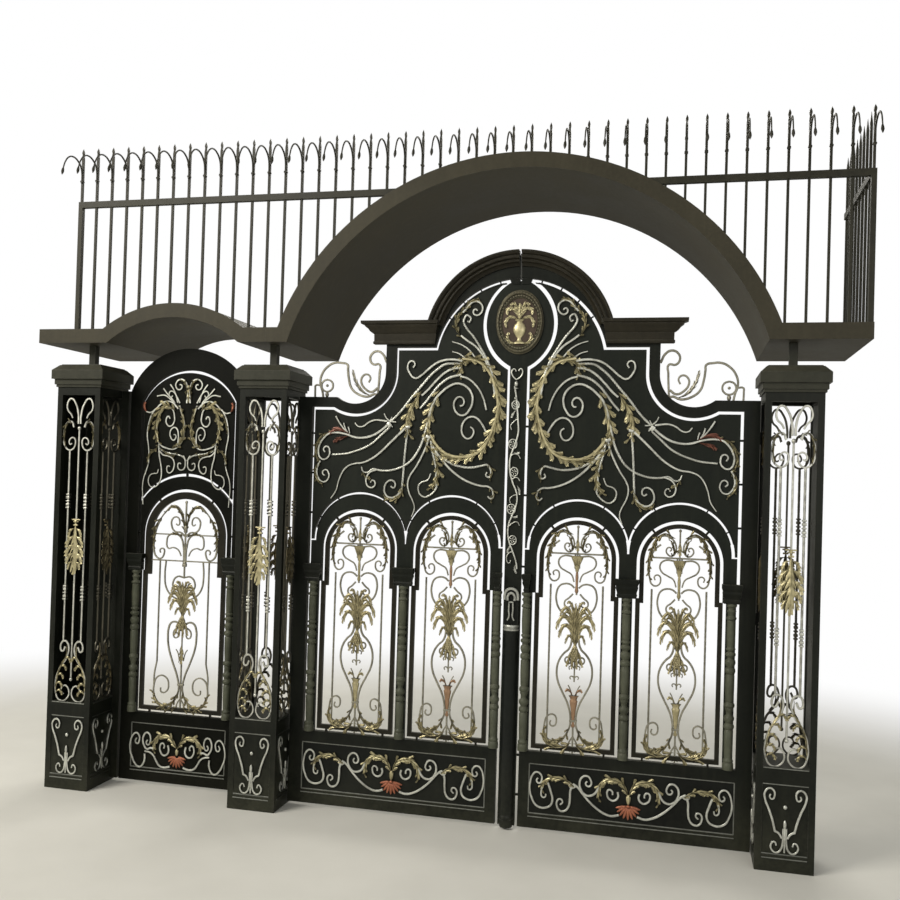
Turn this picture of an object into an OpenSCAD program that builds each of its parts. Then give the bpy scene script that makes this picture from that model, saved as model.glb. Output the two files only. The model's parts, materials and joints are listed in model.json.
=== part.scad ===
// Wrought iron driveway gate: two swing leaves and a walk gate between three
// open box posts, under an arched canopy that carries a spear railing.
// Origin: middle of the middle post's foot. X runs along the gate, Y goes in
// from the street, Z is up. Drawn closed.

/* [Openings] */
// Clear width of the driveway opening
drive_w = 2720; // [2500:10:3000]
// Clear width of the walk opening
walk_w = 950; // [880:10:1060]

/* [Posts] */
// Side of the square posts
post_w = 300; // [270:5:330]
// Width of a post's corner upright
corner_w = 35; // [28:1:42]
// Height of a post under its cap
post_h = 2520; // [2460:5:2600]
// Height of the closed base box of a post
base_h = 545; // [480:5:600]
// Side of the flat bars in the posts' ironwork
post_bar = 12; // [8:1:14]
// Depth of the top rail of a post
post_rail_h = 50; // [35:1:70]
// Overhang of the cap beyond the post
cap_over = 30; // [20:1:40]
// Height of the cap
cap_h = 145; // [120:5:170]

/* [Leaves] */
// Gap under the leaves
floor_gap = 20; // [10:1:40]
// Gap between a leaf and its post
side_gap = 8; // [6:1:12]
// Distance of the leaf fronts behind the post centres
leaf_y = 35; // [20:1:45]
// Depth of the leaf frames
frame_t = 34; // [28:1:50]
// Depth of the plates inside the frames
plate_t = 24; // [18:1:30]
// Width of the outer band of a leaf frame
band_w = 60; // [45:1:75]
// Width of the light slots round the plates
slot_w = 17; // [10:1:18]
// Width of a hanging stile, up to the slot
stile_w = 86; // [70:1:100]
// Height of the bottom rail
low_rail_h = 82; // [60:1:100]
// Height of the bottom panel
panel_h = 288; // [240:2:330]
// Height of the rail under the windows
mid_rail_h = 68; // [50:1:80]
// Height of the columns beside the windows
column_h = 910; // [860:5:960]
// Height of a capital
capital_h = 100; // [80:1:110]
// Drop of a leaf's shoulder below the post shaft
shoulder_drop = 31; // [20:1:60]
// Radius of the hollow above a shoulder
hollow_r = 190; // [170:1:210]
// Height of the plain neck above the shoulder
neck_h = 317; // [290:1:340]
// Height of the cornice
cornice_h = 139; // [110:1:160]
// Forward reach of the cornice
cornice_out = 55; // [35:1:75]
// Outer radius of the arched cornice
crown_r = 563; // [540:1:590]
// Depth of the arched cornice down to the light slot under it
crown_band = 55; // [48:1:75]

/* [Columns and windows] */
// Radius of a column
column_r = 29; // [22:1:32]
// Width of the pier behind a column
pier_w = 60; // [56:1:80]
// Distance of the first column from the meeting line
first_column = 86; // [80:1:95]
// Width of a window frame beside its grille
sash_w = 25; // [20:1:40]
// Thickness of the window ironwork
grille_t = 12; // [10:1:14]
// Face width of the window ironwork
grille_w = 10; // [8:1:12]

/* [Meeting stile] */
// Width of the meeting stile
meet_w = 99; // [90:1:105]
// Radius of the half round pole over the meeting stile
pole_r = 44; // [36:1:47]
// Height of the pole
pole_h = 1130; // [1050:5:1180]
// Height of the lock case
lock_h = 238; // [215:2:260]
// Half width of the medallion
medal_a = 140; // [120:1:150]
// Half height of the medallion
medal_b = 188; // [165:1:200]

/* [Walk gate] */
// Width of the jambs beside the walk gate
jamb_w = 50; // [40:1:60]
// Gap between the walk gate and its jambs
walk_gap = 15; // [10:1:18]
// Distance of the walk gate's front behind the post centres
walk_y = 100; // [90:1:100]
// Height of the walk gate's arched top
walk_top = 2797; // [2750:1:2810]
// Radius of the walk gate's arched top
walk_r = 441; // [430:1:460]

/* [Canopy] */
// Height of the stubs that carry the canopy
stub_h = 135; // [110:5:160]
// Thickness of the canopy
canopy_t = 88; // [70:1:110]
// Depth of the canopy from front to back
canopy_d = 920; // [700:10:1000]
// Rise of the arch over the driveway above the flat eaves
arch_rise = 983; // [900:1:1050]
// Rise of the arch over the walk gate above the flat eaves
walk_arch_rise = 155; // [130:1:180]
// Overhang of the canopy beyond the left post
canopy_left = 150; // [50:5:300]
// Overhang of the canopy beyond the right post
canopy_right = 230; // [150:5:300]
// Side of the stubs that carry the canopy
stub_w = 44; // [30:1:60]

/* [Railing] */
// Distance between railing bars
bar_pitch = 106.3; // [95:0.1:120]
// Side of a railing bar
bar_w = 14; // [10:1:18]
// Height of the spear tips above the crown of the big arch
spear_rise = 164; // [150:2:200]
// Drop of the handrail below the spear tips
rail_drop = 340; // [300:5:400]
// Height of the handrail
rail_h = 38; // [25:1:50]
// Forward reach of the hooks
hook_out = 190; // [120:5:220]

/* [Hinges] */
// Radius of a hinge barrel
barrel_r = 18; // [15:1:22]
// Height of one barrel
barrel_h = 70; // [50:1:90]
// Radius of a hinge pin
pin_r = 8; // [6:0.5:9]
// Gap between a barrel and the back of its leaf
barrel_clear = 5; // [5:1:8]

/* [Hidden] */
$fn = 64;
// Small step that makes cuts pass right through
cut = 1;
// Clearance of a hinge pin in its barrel
pin_fit = 0.08;
// Running gap between stacked barrels
barrel_gap = 0.4;

// Places of the posts and the openings
left_x = -(post_w + walk_w);
right_x = post_w + drive_w;
drive_x = (post_w + drive_w) / 2;
walk_x = left_x / 2;
half_drive = drive_w / 2;
front_y = -post_w / 2;

// Levels of the leaves
sill_lo = floor_gap + low_rail_h;
panel_top = sill_lo + panel_h;
sill_z = panel_top + mid_rail_h;
cap_z = sill_z + column_h;
cap_top = cap_z + capital_h;
shoulder_z = post_h - shoulder_drop;
neck_z = shoulder_z + neck_h;
hollow_z = shoulder_z + hollow_r - 39;
cornice_top = neck_z + cornice_h;
crown_z = neck_z - 20;
crown_slot_r = crown_r - crown_band;
crown_slot_z = crown_z - 106;
leaf_out = half_drive - side_gap;
slot_out = leaf_out - stile_w;
plate_y = leaf_y + 5;

// Places of the columns and windows, measured from the meeting line
last_column = half_drive - 135;
column_step = (last_column - first_column) / 2;
window_low = (column_step - pier_w) / 2;
window_up = window_low - 19;
head_z = cap_top + 107;
ring_z = head_z + 47;
ring_r = column_step / 2 + 2.3;
neck_d = slot_out - 461;
hollow_d = neck_d + hollow_r;

// Half the gap where the two crowns meet, wide enough for one leaf to swing past
seam = 6;

// Meeting stile and oval
meet_slot = meet_w / 2 + slot_w;
oval_z = neck_z + 119;
oval_r = 297;
oval_off = 85;
// Extra room round the oval for the left leaf, which swings past it
oval_play = 6;

// Walk gate
walk_half = walk_w / 2 - jamb_w - walk_gap;
walk_crown_z = walk_top - walk_r;
walk_slot_r = 365;
walk_slot_z = walk_top - 145 - walk_slot_r;
walk_slot_x = walk_half - 80;
walk_column = 330;
walk_low = walk_column - column_r + 3;
walk_up = walk_low - 10;
walk_spring = head_z + 26;
walk_sash = 45;
// Slot over the arch of the walk gate's window, between the arch and the plate
walk_band_r = walk_up + 92;
walk_plate_y = walk_y + 5;

// Canopy levels. Each arch springs from the eaves just outside its opening.
canopy_z = post_h + cap_h + stub_h;
deck_z = canopy_z + canopy_t;
arch_r = (pow(half_drive + 14, 2) + arch_rise * arch_rise) / (2 * arch_rise);
arch_z = canopy_z + arch_rise - arch_r;
walk_arch_r = (pow(walk_w / 2 - 31, 2) + walk_arch_rise * walk_arch_rise) / (2 * walk_arch_rise);
walk_arch_z = canopy_z + walk_arch_rise - walk_arch_r;
railing_top = canopy_z + arch_rise + canopy_t + spear_rise;
rail_top = railing_top - rail_drop;
bar_y = front_y + 25;
first_bar = left_x - 43;
bar_count = floor((right_x + post_w / 2 + canopy_right - 5 - first_bar) / bar_pitch) + 1;

// Hinges
hinge_out = barrel_r + 4;
hinge_y = leaf_y + frame_t + barrel_r + barrel_clear;
walk_hinge_y = walk_y + frame_t + barrel_r + barrel_clear;
hinge_levels = [300, 1250, shoulder_z - 239];

// Extrudes an X-Z outline to lie between y and y + t.
module slab(y, t) {
    translate([0, y + t, 0]) rotate([90, 0, 0]) linear_extrude(t) children();
}

// Flat rectangle given by its corners.
module rect(x0, z0, x1, z1) {
    translate([x0, z0]) square([x1 - x0, z1 - z0]);
}

// Block given by its corners.
module block(a, b) {
    translate(a) cube(b - a);
}

// End of one scroll step. A place is [x, z, heading]; a step is [radius, angle]
// for an arc, left when the angle is positive, or [length] for a straight.
function step_end(p, s) = len(s) == 1
    ? [p.x + s[0] * cos(p.z), p.y + s[0] * sin(p.z), p.z]
    : let(k = sign(s[1]), h = p.z + s[1])
        [p.x + k * s[0] * (sin(h) - sin(p.z)), p.y - k * s[0] * (cos(h) - cos(p.z)), h];

// Flat bar that follows the steps, its back at y = 0. It starts w wide and t thick and
// gets a little thinner with each step, so that each stretch begins inside the one before.
module scroll(p, steps, w, t, i = 0) {
    if (i < len(steps)) {
        s = steps[i];
        a = w - 0.3 * i;
        d = 0.1 * i;
        lap = i == 0 ? 0 : 1.2;
        if (len(s) == 1)
            translate([p.x, 0, p.y]) rotate([0, -p.z, 0]) block([-lap, d - t, -a / 2], [s[0], -d, a / 2]);
        else {
            k = sign(s[1]);
            back = lap / s[0] * 180 / PI;
            start = k > 0 ? p.z - 90 - back : p.z + 90 + s[1];
            translate([p.x - k * s[0] * sin(p.z), 0, p.y + k * s[0] * cos(p.z)])
                rotate([90, 0, 0]) rotate([0, 0, start]) rotate_extrude(angle = abs(s[1]) + back)
                    translate([s[0] - a / 2, d]) square([a, t - 2 * d]);
        }
        scroll(step_end(p, s), steps, w, t, i + 1);
    }
}

// Steps of a volute that tightens from radius r, turning to side k.
function volute(r, k, n = 4, f = 0.66) = [for (i = [0 : n - 1]) [r * pow(f, i), k * 150]];

// Both halves of a mirrored ornament about x = 0.
module both() {
    children();
    mirror([1, 0, 0]) children();
}

// Sets a leaf drawn outward from the meeting line on its side.
module left_side() {
    translate([drive_x, 0, 0]) mirror([1, 0, 0]) children();
}
module right_side() {
    translate([drive_x, 0, 0]) children();
}

// Post

module post_frame() {
    inner = post_w - 2 * corner_w;
    top = post_h - post_rail_h;
    difference() {
        translate([-post_w / 2, -post_w / 2, 0]) cube([post_w, post_w, post_h]);
        translate([-inner / 2, -inner / 2, base_h]) cube([inner, inner, post_h - base_h - 12]);
        translate([-inner / 2, -post_w, base_h]) cube([inner, 2 * post_w, top - base_h]);
        translate([-post_w, -inner / 2, base_h]) cube([2 * post_w, inner, top - base_h]);
        for (a = [0 : 90 : 270]) rotate([0, 0, a])
            translate([-inner / 2, -post_w / 2 - cut, 85]) cube([inner, 4 + cut, 373]);
    }
}

// Sheet that closes a post's opening behind its ironwork, on the side turned by a.
module closing_sheet(a) {
    inner = post_w / 2 - corner_w + 1;
    rotate([0, 0, a])
        block([-inner, 25 - post_w / 2, base_h - 1], [inner, 29 - post_w / 2, post_h - post_rail_h + 1]);
}

// Fixed barrels with their pins at a hinge axis. The bracket of each is the box a to b.
module fixed_barrels(x, y, a, b) {
    for (z = hinge_levels) translate([x, y, z]) {
        cylinder(r = barrel_r, h = barrel_h);
        translate([0, 0, barrel_h - cut]) cylinder(r = pin_r, h = barrel_h + cut - 5);
        block([a.x, a.y, 0], [b.x, b.y, barrel_h]);
    }
}

// Barrels that turn on those pins, with a bracket to the leaf's back on side k.
module leaf_barrels(x, y, k) {
    for (z = hinge_levels) translate([x, y, z + barrel_h + barrel_gap]) difference() {
        union() {
            cylinder(r = barrel_r, h = barrel_h);
            block([min(0, k * 50), -barrel_r - barrel_clear - cut, 0],
                [max(0, k * 50), -barrel_r + 8, barrel_h]);
        }
        translate([0, 0, -cut]) cylinder(r = pin_r + pin_fit, h = barrel_h + cut - 4);
    }
}

module left_post() {
    color("#3a403d") {
        translate([left_x, 0, 0]) {
            post_frame();
            closing_sheet(180);
            closing_sheet(270);
        }
        block([left_x + post_w / 2, walk_y, floor_gap],
            [left_x + post_w / 2 + jamb_w, walk_y + frame_t, post_h]);
    }
}

module middle_post() {
    color("#3a403d") {
        post_frame();
        block([-post_w / 2 - jamb_w, walk_y, floor_gap], [-post_w / 2, walk_y + frame_t, post_h]);
        fixed_barrels(post_w / 2 + hinge_out, hinge_y, [-hinge_out - cut, 0],
            [0, post_w / 2 - corner_w + 13 - hinge_y]);
        fixed_barrels(-post_w / 2 - jamb_w - walk_gap / 2, walk_hinge_y,
            [0, -barrel_r - barrel_clear - cut], [(jamb_w + walk_gap) / 2, 4]);
    }
}

module right_post() {
    color("#3a403d") translate([right_x, 0, 0]) {
        post_frame();
        closing_sheet(90);
        fixed_barrels(-post_w / 2 - hinge_out, hinge_y, [0, 0],
            [hinge_out + cut, post_w / 2 - corner_w + 13 - hinge_y]);
    }
}

// Square moulding ring: half side r, from z to z + h.
module square_ring(r, z, h) {
    translate([-r, -r, z]) cube([2 * r, 2 * r, h]);
}

module cap() {
    r = post_w / 2 + cap_over;
    h = cap_h / 145;
    square_ring(post_w / 2 + 8, 0, 16 * h);
    square_ring(post_w / 2 + 16, 16 * h, 34 * h);
    square_ring(r, 50 * h, 55 * h);
    translate([0, 0, 105 * h]) rotate([0, 0, 45]) cylinder(r1 = r * sqrt(2),
        r2 = (r - 35) * sqrt(2), h = 35 * h, $fn = 4);
    square_ring(r - 42, 140 * h, 5 * h);
}

module post_caps() {
    for (x = [left_x, 0, right_x]) translate([x, 0, post_h]) {
        color("#4a504a") cap();
        color("#3a342c") block([-stub_w / 2, -stub_w / 2, cap_h], [stub_w / 2, stub_w / 2, cap_h + stub_h]);
    }
}

// Ironwork of one face of a post, drawn about x = 0 with its back at y = 0.
module post_face() {
    half = post_w / 2 - corner_w;
    b = post_bar;
    z0 = base_h;
    z1 = post_h - post_rail_h;
    lyre = z0 + 330;
    bow = z1 - 350;
    for (z = [z0, lyre, bow, z1 - b]) block([-half, -b, z], [half, 0, z + b]);
    for (x = [-56, 0, 56]) block([x - b / 2, 0.5 - b, lyre + 2], [x + b / 2, -0.5, bow + 2]);
    for (x = [-56, 56], z = [lyre + 290, bow - 290]) block([x - b, -b - 3, z - 26], [x + b, 3, z + 26]);
    block([-b / 2, 0.5 - b, z0 + 60], [b / 2, -0.5, lyre + 2]);
    block([-b / 2, 0.5 - b, bow + 2], [b / 2, -0.5, z1 - 100]);
    translate([0, -1, z0 + 60]) rotate([90, 0, 0]) cylinder(r = 13, h = b - 2);
    translate([0, -1, 0]) both() {
        scroll([40, lyre + 3, -60], [[50, -60], [150, 42], [150, 70], [34, 150], [18, 150]], 9, b - 2);
        scroll([14, bow + 3, 75], [[160, -20], [75, 110], [34, 150]], 9, b - 2);
        scroll([40, z1 - 6, -110], [[70, 120], [30, 130]], 9, b - 2);
    }
}

module post_grilles() {
    in = post_w / 2 - 20;
    color("#8d9088") for (x = [left_x, 0, right_x], a = [0 : 90 : 270])
        translate([x, 0, 0]) rotate([0, 0, a]) translate([0, -in, 0]) intersection() {
            post_face();
            block([-post_w / 2 + corner_w, -20, base_h], [post_w / 2 - corner_w, 20, post_h - post_rail_h]);
        }
}

// Applied scroll of a base box: two limbs that curl in above and out below.
module base_scroll() {
    both() {
        scroll([14, base_h - 340, 40], [[130, 55], [44, 140], [26, 150]], 9, 8);
        scroll([17, base_h - 354, -60], [[120, 20], [20, -200], [12, -120]], 8, 8);
    }
    translate([0, 0, base_h - 200]) rotate([90, 0, 0]) cylinder(r = 12, h = 9);
}

module post_base_scrolls() {
    color("#a9ada5") for (x = [left_x, 0, right_x], a = [0 : 90 : 270])
        translate([x, 0, 0]) rotate([0, 0, a]) translate([0, -post_w / 2 + 4, 0]) base_scroll();
}

// Canopy

module canopy_walk_span() {
    color("#4c4a3f") slab(front_y, canopy_d) difference() {
        union() {
            rect(left_x - post_w / 2 - canopy_left, canopy_z, 0, deck_z);
            intersection() {
                translate([walk_x, walk_arch_z]) circle(r = walk_arch_r + canopy_t, $fn = 200);
                rect(walk_x - walk_arch_r, canopy_z, walk_x + walk_arch_r, deck_z + 400);
            }
        }
        translate([walk_x, walk_arch_z]) circle(r = walk_arch_r, $fn = 200);
    }
}

module canopy_drive_arch() {
    color("#4c4a3f") slab(front_y, canopy_d) difference() {
        union() {
            rect(0, canopy_z, right_x + post_w / 2 + canopy_right, deck_z);
            intersection() {
                translate([drive_x, arch_z]) circle(r = arch_r + canopy_t, $fn = 200);
                rect(drive_x - 1600, canopy_z, drive_x + 1600, deck_z + 1500);
            }
        }
        translate([drive_x, arch_z]) circle(r = arch_r, $fn = 200);
    }
}

// Railing

// Height of the deck that carries a railing bar at x.
function deck_at(x) = let(dx = abs(x - drive_x), r = arch_r + canopy_t, wx = abs(x - walk_x),
    wr = walk_arch_r + canopy_t)
    max(deck_z, dx < r ? arch_z + sqrt(r * r - dx * dx) : 0,
        wx < wr ? walk_arch_z + sqrt(wr * wr - wx * wx) : 0);

// Bar with a spear head.
module spear_bar(x) {
    foot = deck_at(x);
    sink = foot > deck_z ? bar_w * 1.5 : 0;
    translate([x, bar_y, 0]) {
        block([-bar_w / 2, -bar_w / 2, foot - sink], [bar_w / 2, bar_w / 2, railing_top - 60]);
        translate([0, 0, railing_top - 60 - cut]) rotate([0, 0, 45])
            cylinder(r1 = bar_w * 0.7, r2 = 1, h = 60 + cut, $fn = 4);
    }
}

// Hook in the plane across the gate: it leaves the bar, rises, bends out and hangs down.
module hook() {
    r = hook_out * 0.52;
    translate([bar_w / 4, 0, 0]) rotate([0, 0, -90])
        scroll([0, 0, 0], [[22, 65], [r, -65], [r, -70], [18]], 9, bar_w / 2);
}

// Takes the arched tops of the canopy out of the feet of the bars that stand on them.
module on_the_deck() {
    difference() {
        children();
        slab(front_y, 80) {
            translate([drive_x, arch_z]) circle(r = arch_r + canopy_t + 0.2, $fn = 200);
            translate([walk_x, walk_arch_z]) circle(r = walk_arch_r + canopy_t + 0.2, $fn = 200);
        }
    }
}

module railing_run(i0, i1, x0, x1) {
    on_the_deck() {
        block([x0, bar_y - bar_w, rail_top - rail_h], [x1, bar_y + bar_w, rail_top]);
        for (i = [i0 : i1]) spear_bar(first_bar + i * bar_pitch);
    }
}

// Thicker post at an end of the railing, up to the handrail.
module end_post(x) {
    block([x - bar_w, bar_y - bar_w, deck_z], [x + bar_w, bar_y + bar_w, rail_top]);
}

// Where the handrail meets the big arch, as a distance from its middle.
rail_meet = sqrt(pow(arch_r + canopy_t, 2) - pow(rail_top - rail_h / 2 - arch_z, 2));
meet_l = floor((drive_x - rail_meet - first_bar) / bar_pitch);
meet_r = ceil((drive_x + rail_meet - first_bar) / bar_pitch);
last_bar = first_bar + (bar_count - 1) * bar_pitch;

module railing_left() {
    color("#3b3a35") {
        railing_run(0, meet_l, first_bar, drive_x - rail_meet + 40);
        end_post(first_bar);
    }
}
module railing_over_arch() {
    color("#3b3a35") on_the_deck() for (i = [meet_l + 1 : meet_r - 1]) spear_bar(first_bar + i * bar_pitch);
}
module railing_right() {
    color("#3b3a35") {
        railing_run(meet_r, bar_count - 1, drive_x + rail_meet - 40, last_bar);
        end_post(last_bar);
    }
}

// Side return of the railing at the right end.
module railing_return() {
    color("#3b3a35") {
        block([last_bar - bar_w, bar_y + bar_w, rail_top - rail_h],
            [last_bar + bar_w, front_y + canopy_d - 30, rail_top]);
        for (y = [bar_y + bar_pitch : bar_pitch : front_y + canopy_d - 20]) translate([last_bar, y, 0]) {
            block([-bar_w / 2, -bar_w / 2, deck_z], [bar_w / 2, bar_w / 2, railing_top - 60]);
            translate([0, 0, railing_top - 60 - cut]) rotate([0, 0, 45])
                cylinder(r1 = bar_w * 0.7, r2 = 1, h = 60 + cut, $fn = 4);
        }
    }
}

// One hook on each front bar, face to face with the bar's street side.
module railing_hooks() {
    color("#3b3a35") for (i = [0 : bar_count - 1])
        translate([first_bar + i * bar_pitch, bar_y - bar_w / 2, railing_top - 145]) hook();
}

// Leaf outlines, drawn outward from the meeting line

// Field inside the outer band, made smaller all round by s.
module field(s) {
    difference() {
        union() {
            rect(-600, sill_z, slot_out - s, shoulder_z - band_w - s);
            rect(-600, sill_z, neck_d - band_w - s, neck_z - 16 - s);
            rect(-600, sill_z, hollow_d, hollow_z);
            intersection() {
                translate([0, crown_slot_z]) circle(r = crown_slot_r + 6 - s, $fn = 160);
                rect(-600, sill_z, 600, crown_z + crown_r);
            }
        }
        translate([hollow_d, hollow_z]) circle(r = hollow_r + band_w + s);
    }
}

// Oval field in the middle, made smaller by s.
module oval(s) {
    intersection() {
        oval_half(-1, s);
        oval_half(1, s);
    }
}
module oval_half(k, s) {
    translate([k * oval_off, oval_z]) circle(r = oval_r - s, $fn = 120);
}

// Silhouette of a leaf from its meeting edge to its hanging edge.
module silhouette() {
    difference() {
        union() {
            rect(meet_slot, floor_gap, leaf_out, shoulder_z);
            rect(meet_slot, shoulder_z - 60, neck_d, neck_z + cornice_h / 2);
            rect(meet_slot, shoulder_z - 60, hollow_d, hollow_z);
            intersection() {
                translate([0, crown_z]) circle(r = crown_r - 20, $fn = 160);
                rect(seam - 2, neck_z, crown_r, crown_z + crown_r);
            }
        }
        translate([hollow_d, hollow_z]) circle(r = hollow_r);
    }
}

// Opening round one window, half width a below the capitals and b above.
module window_cut(c, a, b, lo, hi) {
    rect(c - a, lo, c + a, cap_z);
    rect(c - b, cap_z - cut, c + b, hi);
    translate([c, hi]) circle(r = b);
}

window_places = [first_column + column_step / 2, first_column + column_step * 1.5];

module leaf_frame() {
    slab(leaf_y, frame_t) difference() {
        silhouette();
        field(0);
        rect(meet_slot + band_w, sill_lo, slot_out, panel_top);
    }
    leaf_barrels(half_drive - hinge_out, hinge_y, -1);
}

module upper_plate() {
    slab(plate_y, plate_t) difference() {
        intersection() {
            field(slot_w);
            rect(0, ring_z, slot_out, crown_z + crown_r);
        }
        for (c = window_places) translate([c, ring_z]) circle(r = ring_r + slot_w / 2);
        rect(-meet_slot, 0, meet_slot, oval_z);
        oval(-slot_w / 2);
    }
    plate_tabs();
}

// Small tabs that hold the plates across the slots.
module tab(x, z) {
    block([x - slot_w - 4, plate_y + 5, z - 6], [x, plate_y + 17, z + 6]);
}
module plate_tabs() {
    for (k = [0.2, 0.5, 0.8]) tab(slot_out, ring_z + k * (shoulder_z - band_w - ring_z));
}

module arcade() {
    slab(plate_y, plate_t) difference() {
        union() {
            rect(meet_slot, sill_z, slot_out - slot_w, ring_z - slot_w / 2);
            for (c = window_places) translate([c, ring_z]) circle(r = ring_r - slot_w / 2);
        }
        for (c = window_places) window_cut(c, window_low, window_up, sill_z - cut, head_z);
    }
}

// The frame is sash_w wide, and arch wide round the arch.
module window_frame(c, y, lo, low, up, hi, arch = sash_w) {
    slab(y + 2, plate_t - 3) difference() {
        window_cut(c, low - slot_w, up - slot_w, lo, hi);
        window_hole(c, lo, low, up, hi, arch);
    }
}
module window_hole(c, lo, low, up, hi, arch) {
    a = low - slot_w - sash_w;
    b = up - slot_w - arch;
    rect(c - a, lo + sash_w, c + a, cap_z - sash_w);
    rect(c - b, cap_z - sash_w - cut, c + b, hi);
    translate([c, hi]) circle(r = b);
}
module window_frames() {
    for (c = window_places) {
        window_frame(c, plate_y, sill_z + slot_w, window_low, window_up, head_z);
        window_tabs(c, plate_y, window_low, window_up, head_z);
    }
}

// Small tabs that hold a window frame across the slot round it.
module window_tabs(c, y, low, up, hi) {
    for (k = [-1, 1]) {
        block([c + k * low * 0.7 - 6, y + 5, sill_z], [c + k * low * 0.7 + 6, y + 17, sill_z + slot_w + 4]);
        translate([c, 0, hi]) rotate([0, k * 40, 0])
            block([-6, y + 5, up - slot_w - 4], [6, y + 17, up - 0.3]);
    }
}

// Ironwork of one window, c from the meeting line: bars, then scrolls a little thinner.
module grille(c, y, lo, low, up, hi, arch = sash_w) {
    r = up - slot_w - arch;
    base = lo + sash_w;
    g = grille_w;
    h = hi - base;
    slab(y + 6, grille_t) intersection() {
        window_hole(c, lo, low, up, hi, arch);
        union() {
            rect(c - g / 2, base, c + g / 2, hi + r);
            rect(c - r, hi + 22, c + r, hi + 22 + g);
            for (k = [-1, 1]) rect(c + k * 148 - g / 2, base, c + k * 148 + g / 2, hi + 60);
            rect(c - 34, base + 0.135 * h, c + 34, base + 0.135 * h + 22);
        }
    }
    translate([c, y + 6 + grille_t, 0]) both() {
        thin(1) scroll([3, hi + 120, 90], [[38, 95], [52, 150], [30, 160]], g, grille_t - 2);
        thin(1.6) scroll([148, hi + 40, 95], [[100, 60], [60, -30]], g, grille_t - 3.2);
        thin(2.2) scroll([2, hi + 6, -25], [[50, 60], [36, 150], [60, -90]], g - 1, grille_t - 4.4);
        thin(2.8) scroll([3, hi - 165, 80], [[40, -95], [60, -70], [150, -60], [200, 40],
            [40]], g - 1, grille_t - 5.6);
        thin(1.3) scroll([20, base + 0.558 * h, -95], [[80, 50], [150, -80], [150], [230, 30],
            [82, 165], [44, 160]],
            g, grille_t - 2.6);
        thin(0.5) block([-3, 1 - grille_t, base + 0.5 * h], [26, 0, base + 0.72 * h]);
    }
}

// Moves its work forward from the back of the bars by d, so that crossing faces differ.
module thin(d) {
    translate([0, -d, 0]) children();
}
module grilles() {
    for (c = window_places) grille(c, plate_y, sill_z + slot_w, window_low, window_up, head_z);
}

// Turned knop on a column: two rings with a hollow on each side of a swelling.
function knop(r, z) = [[r * 0.84, z - 62], [r, z - 56], [r, z - 44], [r * 0.74, z - 38], [r * 0.74, z - 26],
    [r * 0.96, z - 12], [r * 0.96, z + 12], [r * 0.74, z + 26], [r * 0.74, z + 38], [r, z + 44],
    [r, z + 56], [r * 0.84, z + 62]];

// Half round turned column with base, knops and capital, its flat back at y = 0.
module column(h, cw, pad) {
    r = column_r;
    intersection() {
        rotate_extrude() polygon(concat([[0, 0], [r, 0], [r, 30], [r * 0.8, 36], [r, 44], [r, 56],
            [r * 0.84, 62]],
            knop(r, h * 0.32), knop(r, h * 0.66),
            [[r * 0.84, h - 96], [r, h - 90], [r, h - 74], [r * 0.78, h - 68], [r * 0.78, h - 46],
            [r, h - 40], [r, h - 20], [r * 0.8, h - 12], [r * 0.8, h], [0, h]]));
        block([-r, -r, 0], [r, 0, h]);
    }
    block([-cw / 2 + 4, -r, h], [cw / 2 - 4, 0, h + capital_h * 0.3]);
    block([-cw / 2, -r - 4, h + capital_h * 0.3], [cw / 2, 0, h + capital_h * 0.65]);
    block([-cw / 2 - 6, -r - 11, h + capital_h * 0.65], [cw / 2 + 6, 0, h + capital_h]);
    block([-r + 4, -cut, 0], [r - 4, pad, h + capital_h - 10]);
}
module columns() {
    for (i = [0 : 2]) translate([first_column + i * column_step, leaf_y, sill_z])
        column(column_h, i == 1 ? 120 : (i == 0 ? 40 : 98), plate_y - leaf_y);
}

module bottom_panel() {
    slab(plate_y, plate_t) rect(meet_slot + band_w, sill_lo, slot_out, panel_top);
}

// Cornice: square wing beside the crown, then the arched crown itself. Each row is a
// share of the height from and to, and a share of the reach.
cornice_steps = [[0, 0.42, 0.35], [0.42, 0.5, 0.5], [0.5, 0.62, 0.62], [0.62, 0.78, 0.82], [0.78, 1, 1]];
module cornice() {
    for (s = cornice_steps) {
        out = cornice_out * s[2];
        z0 = neck_z + cornice_h * s[0];
        z1 = neck_z + cornice_h * s[1] + (s[1] < 1 ? 0.5 : 0);
        x1 = neck_d + 72 + 81 * max(0, s[2] - 0.35) / 0.65;
        slab(leaf_y - out, out) difference() {
            rect(crown_r - 160, z0, x1, z1);
            translate([0, crown_z]) circle(r = crown_r - 60);
        }
        slab(leaf_y - out, out) intersection() {
            difference() {
                translate([0, crown_z]) circle(r = crown_r - 88 * (1 - s[1]), $fn = 160);
                translate([0, crown_z]) circle(r = crown_r - 88, $fn = 160);
            }
            rect(seam, neck_z + 20, crown_r, crown_z + crown_r);
        }
    }
}

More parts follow.
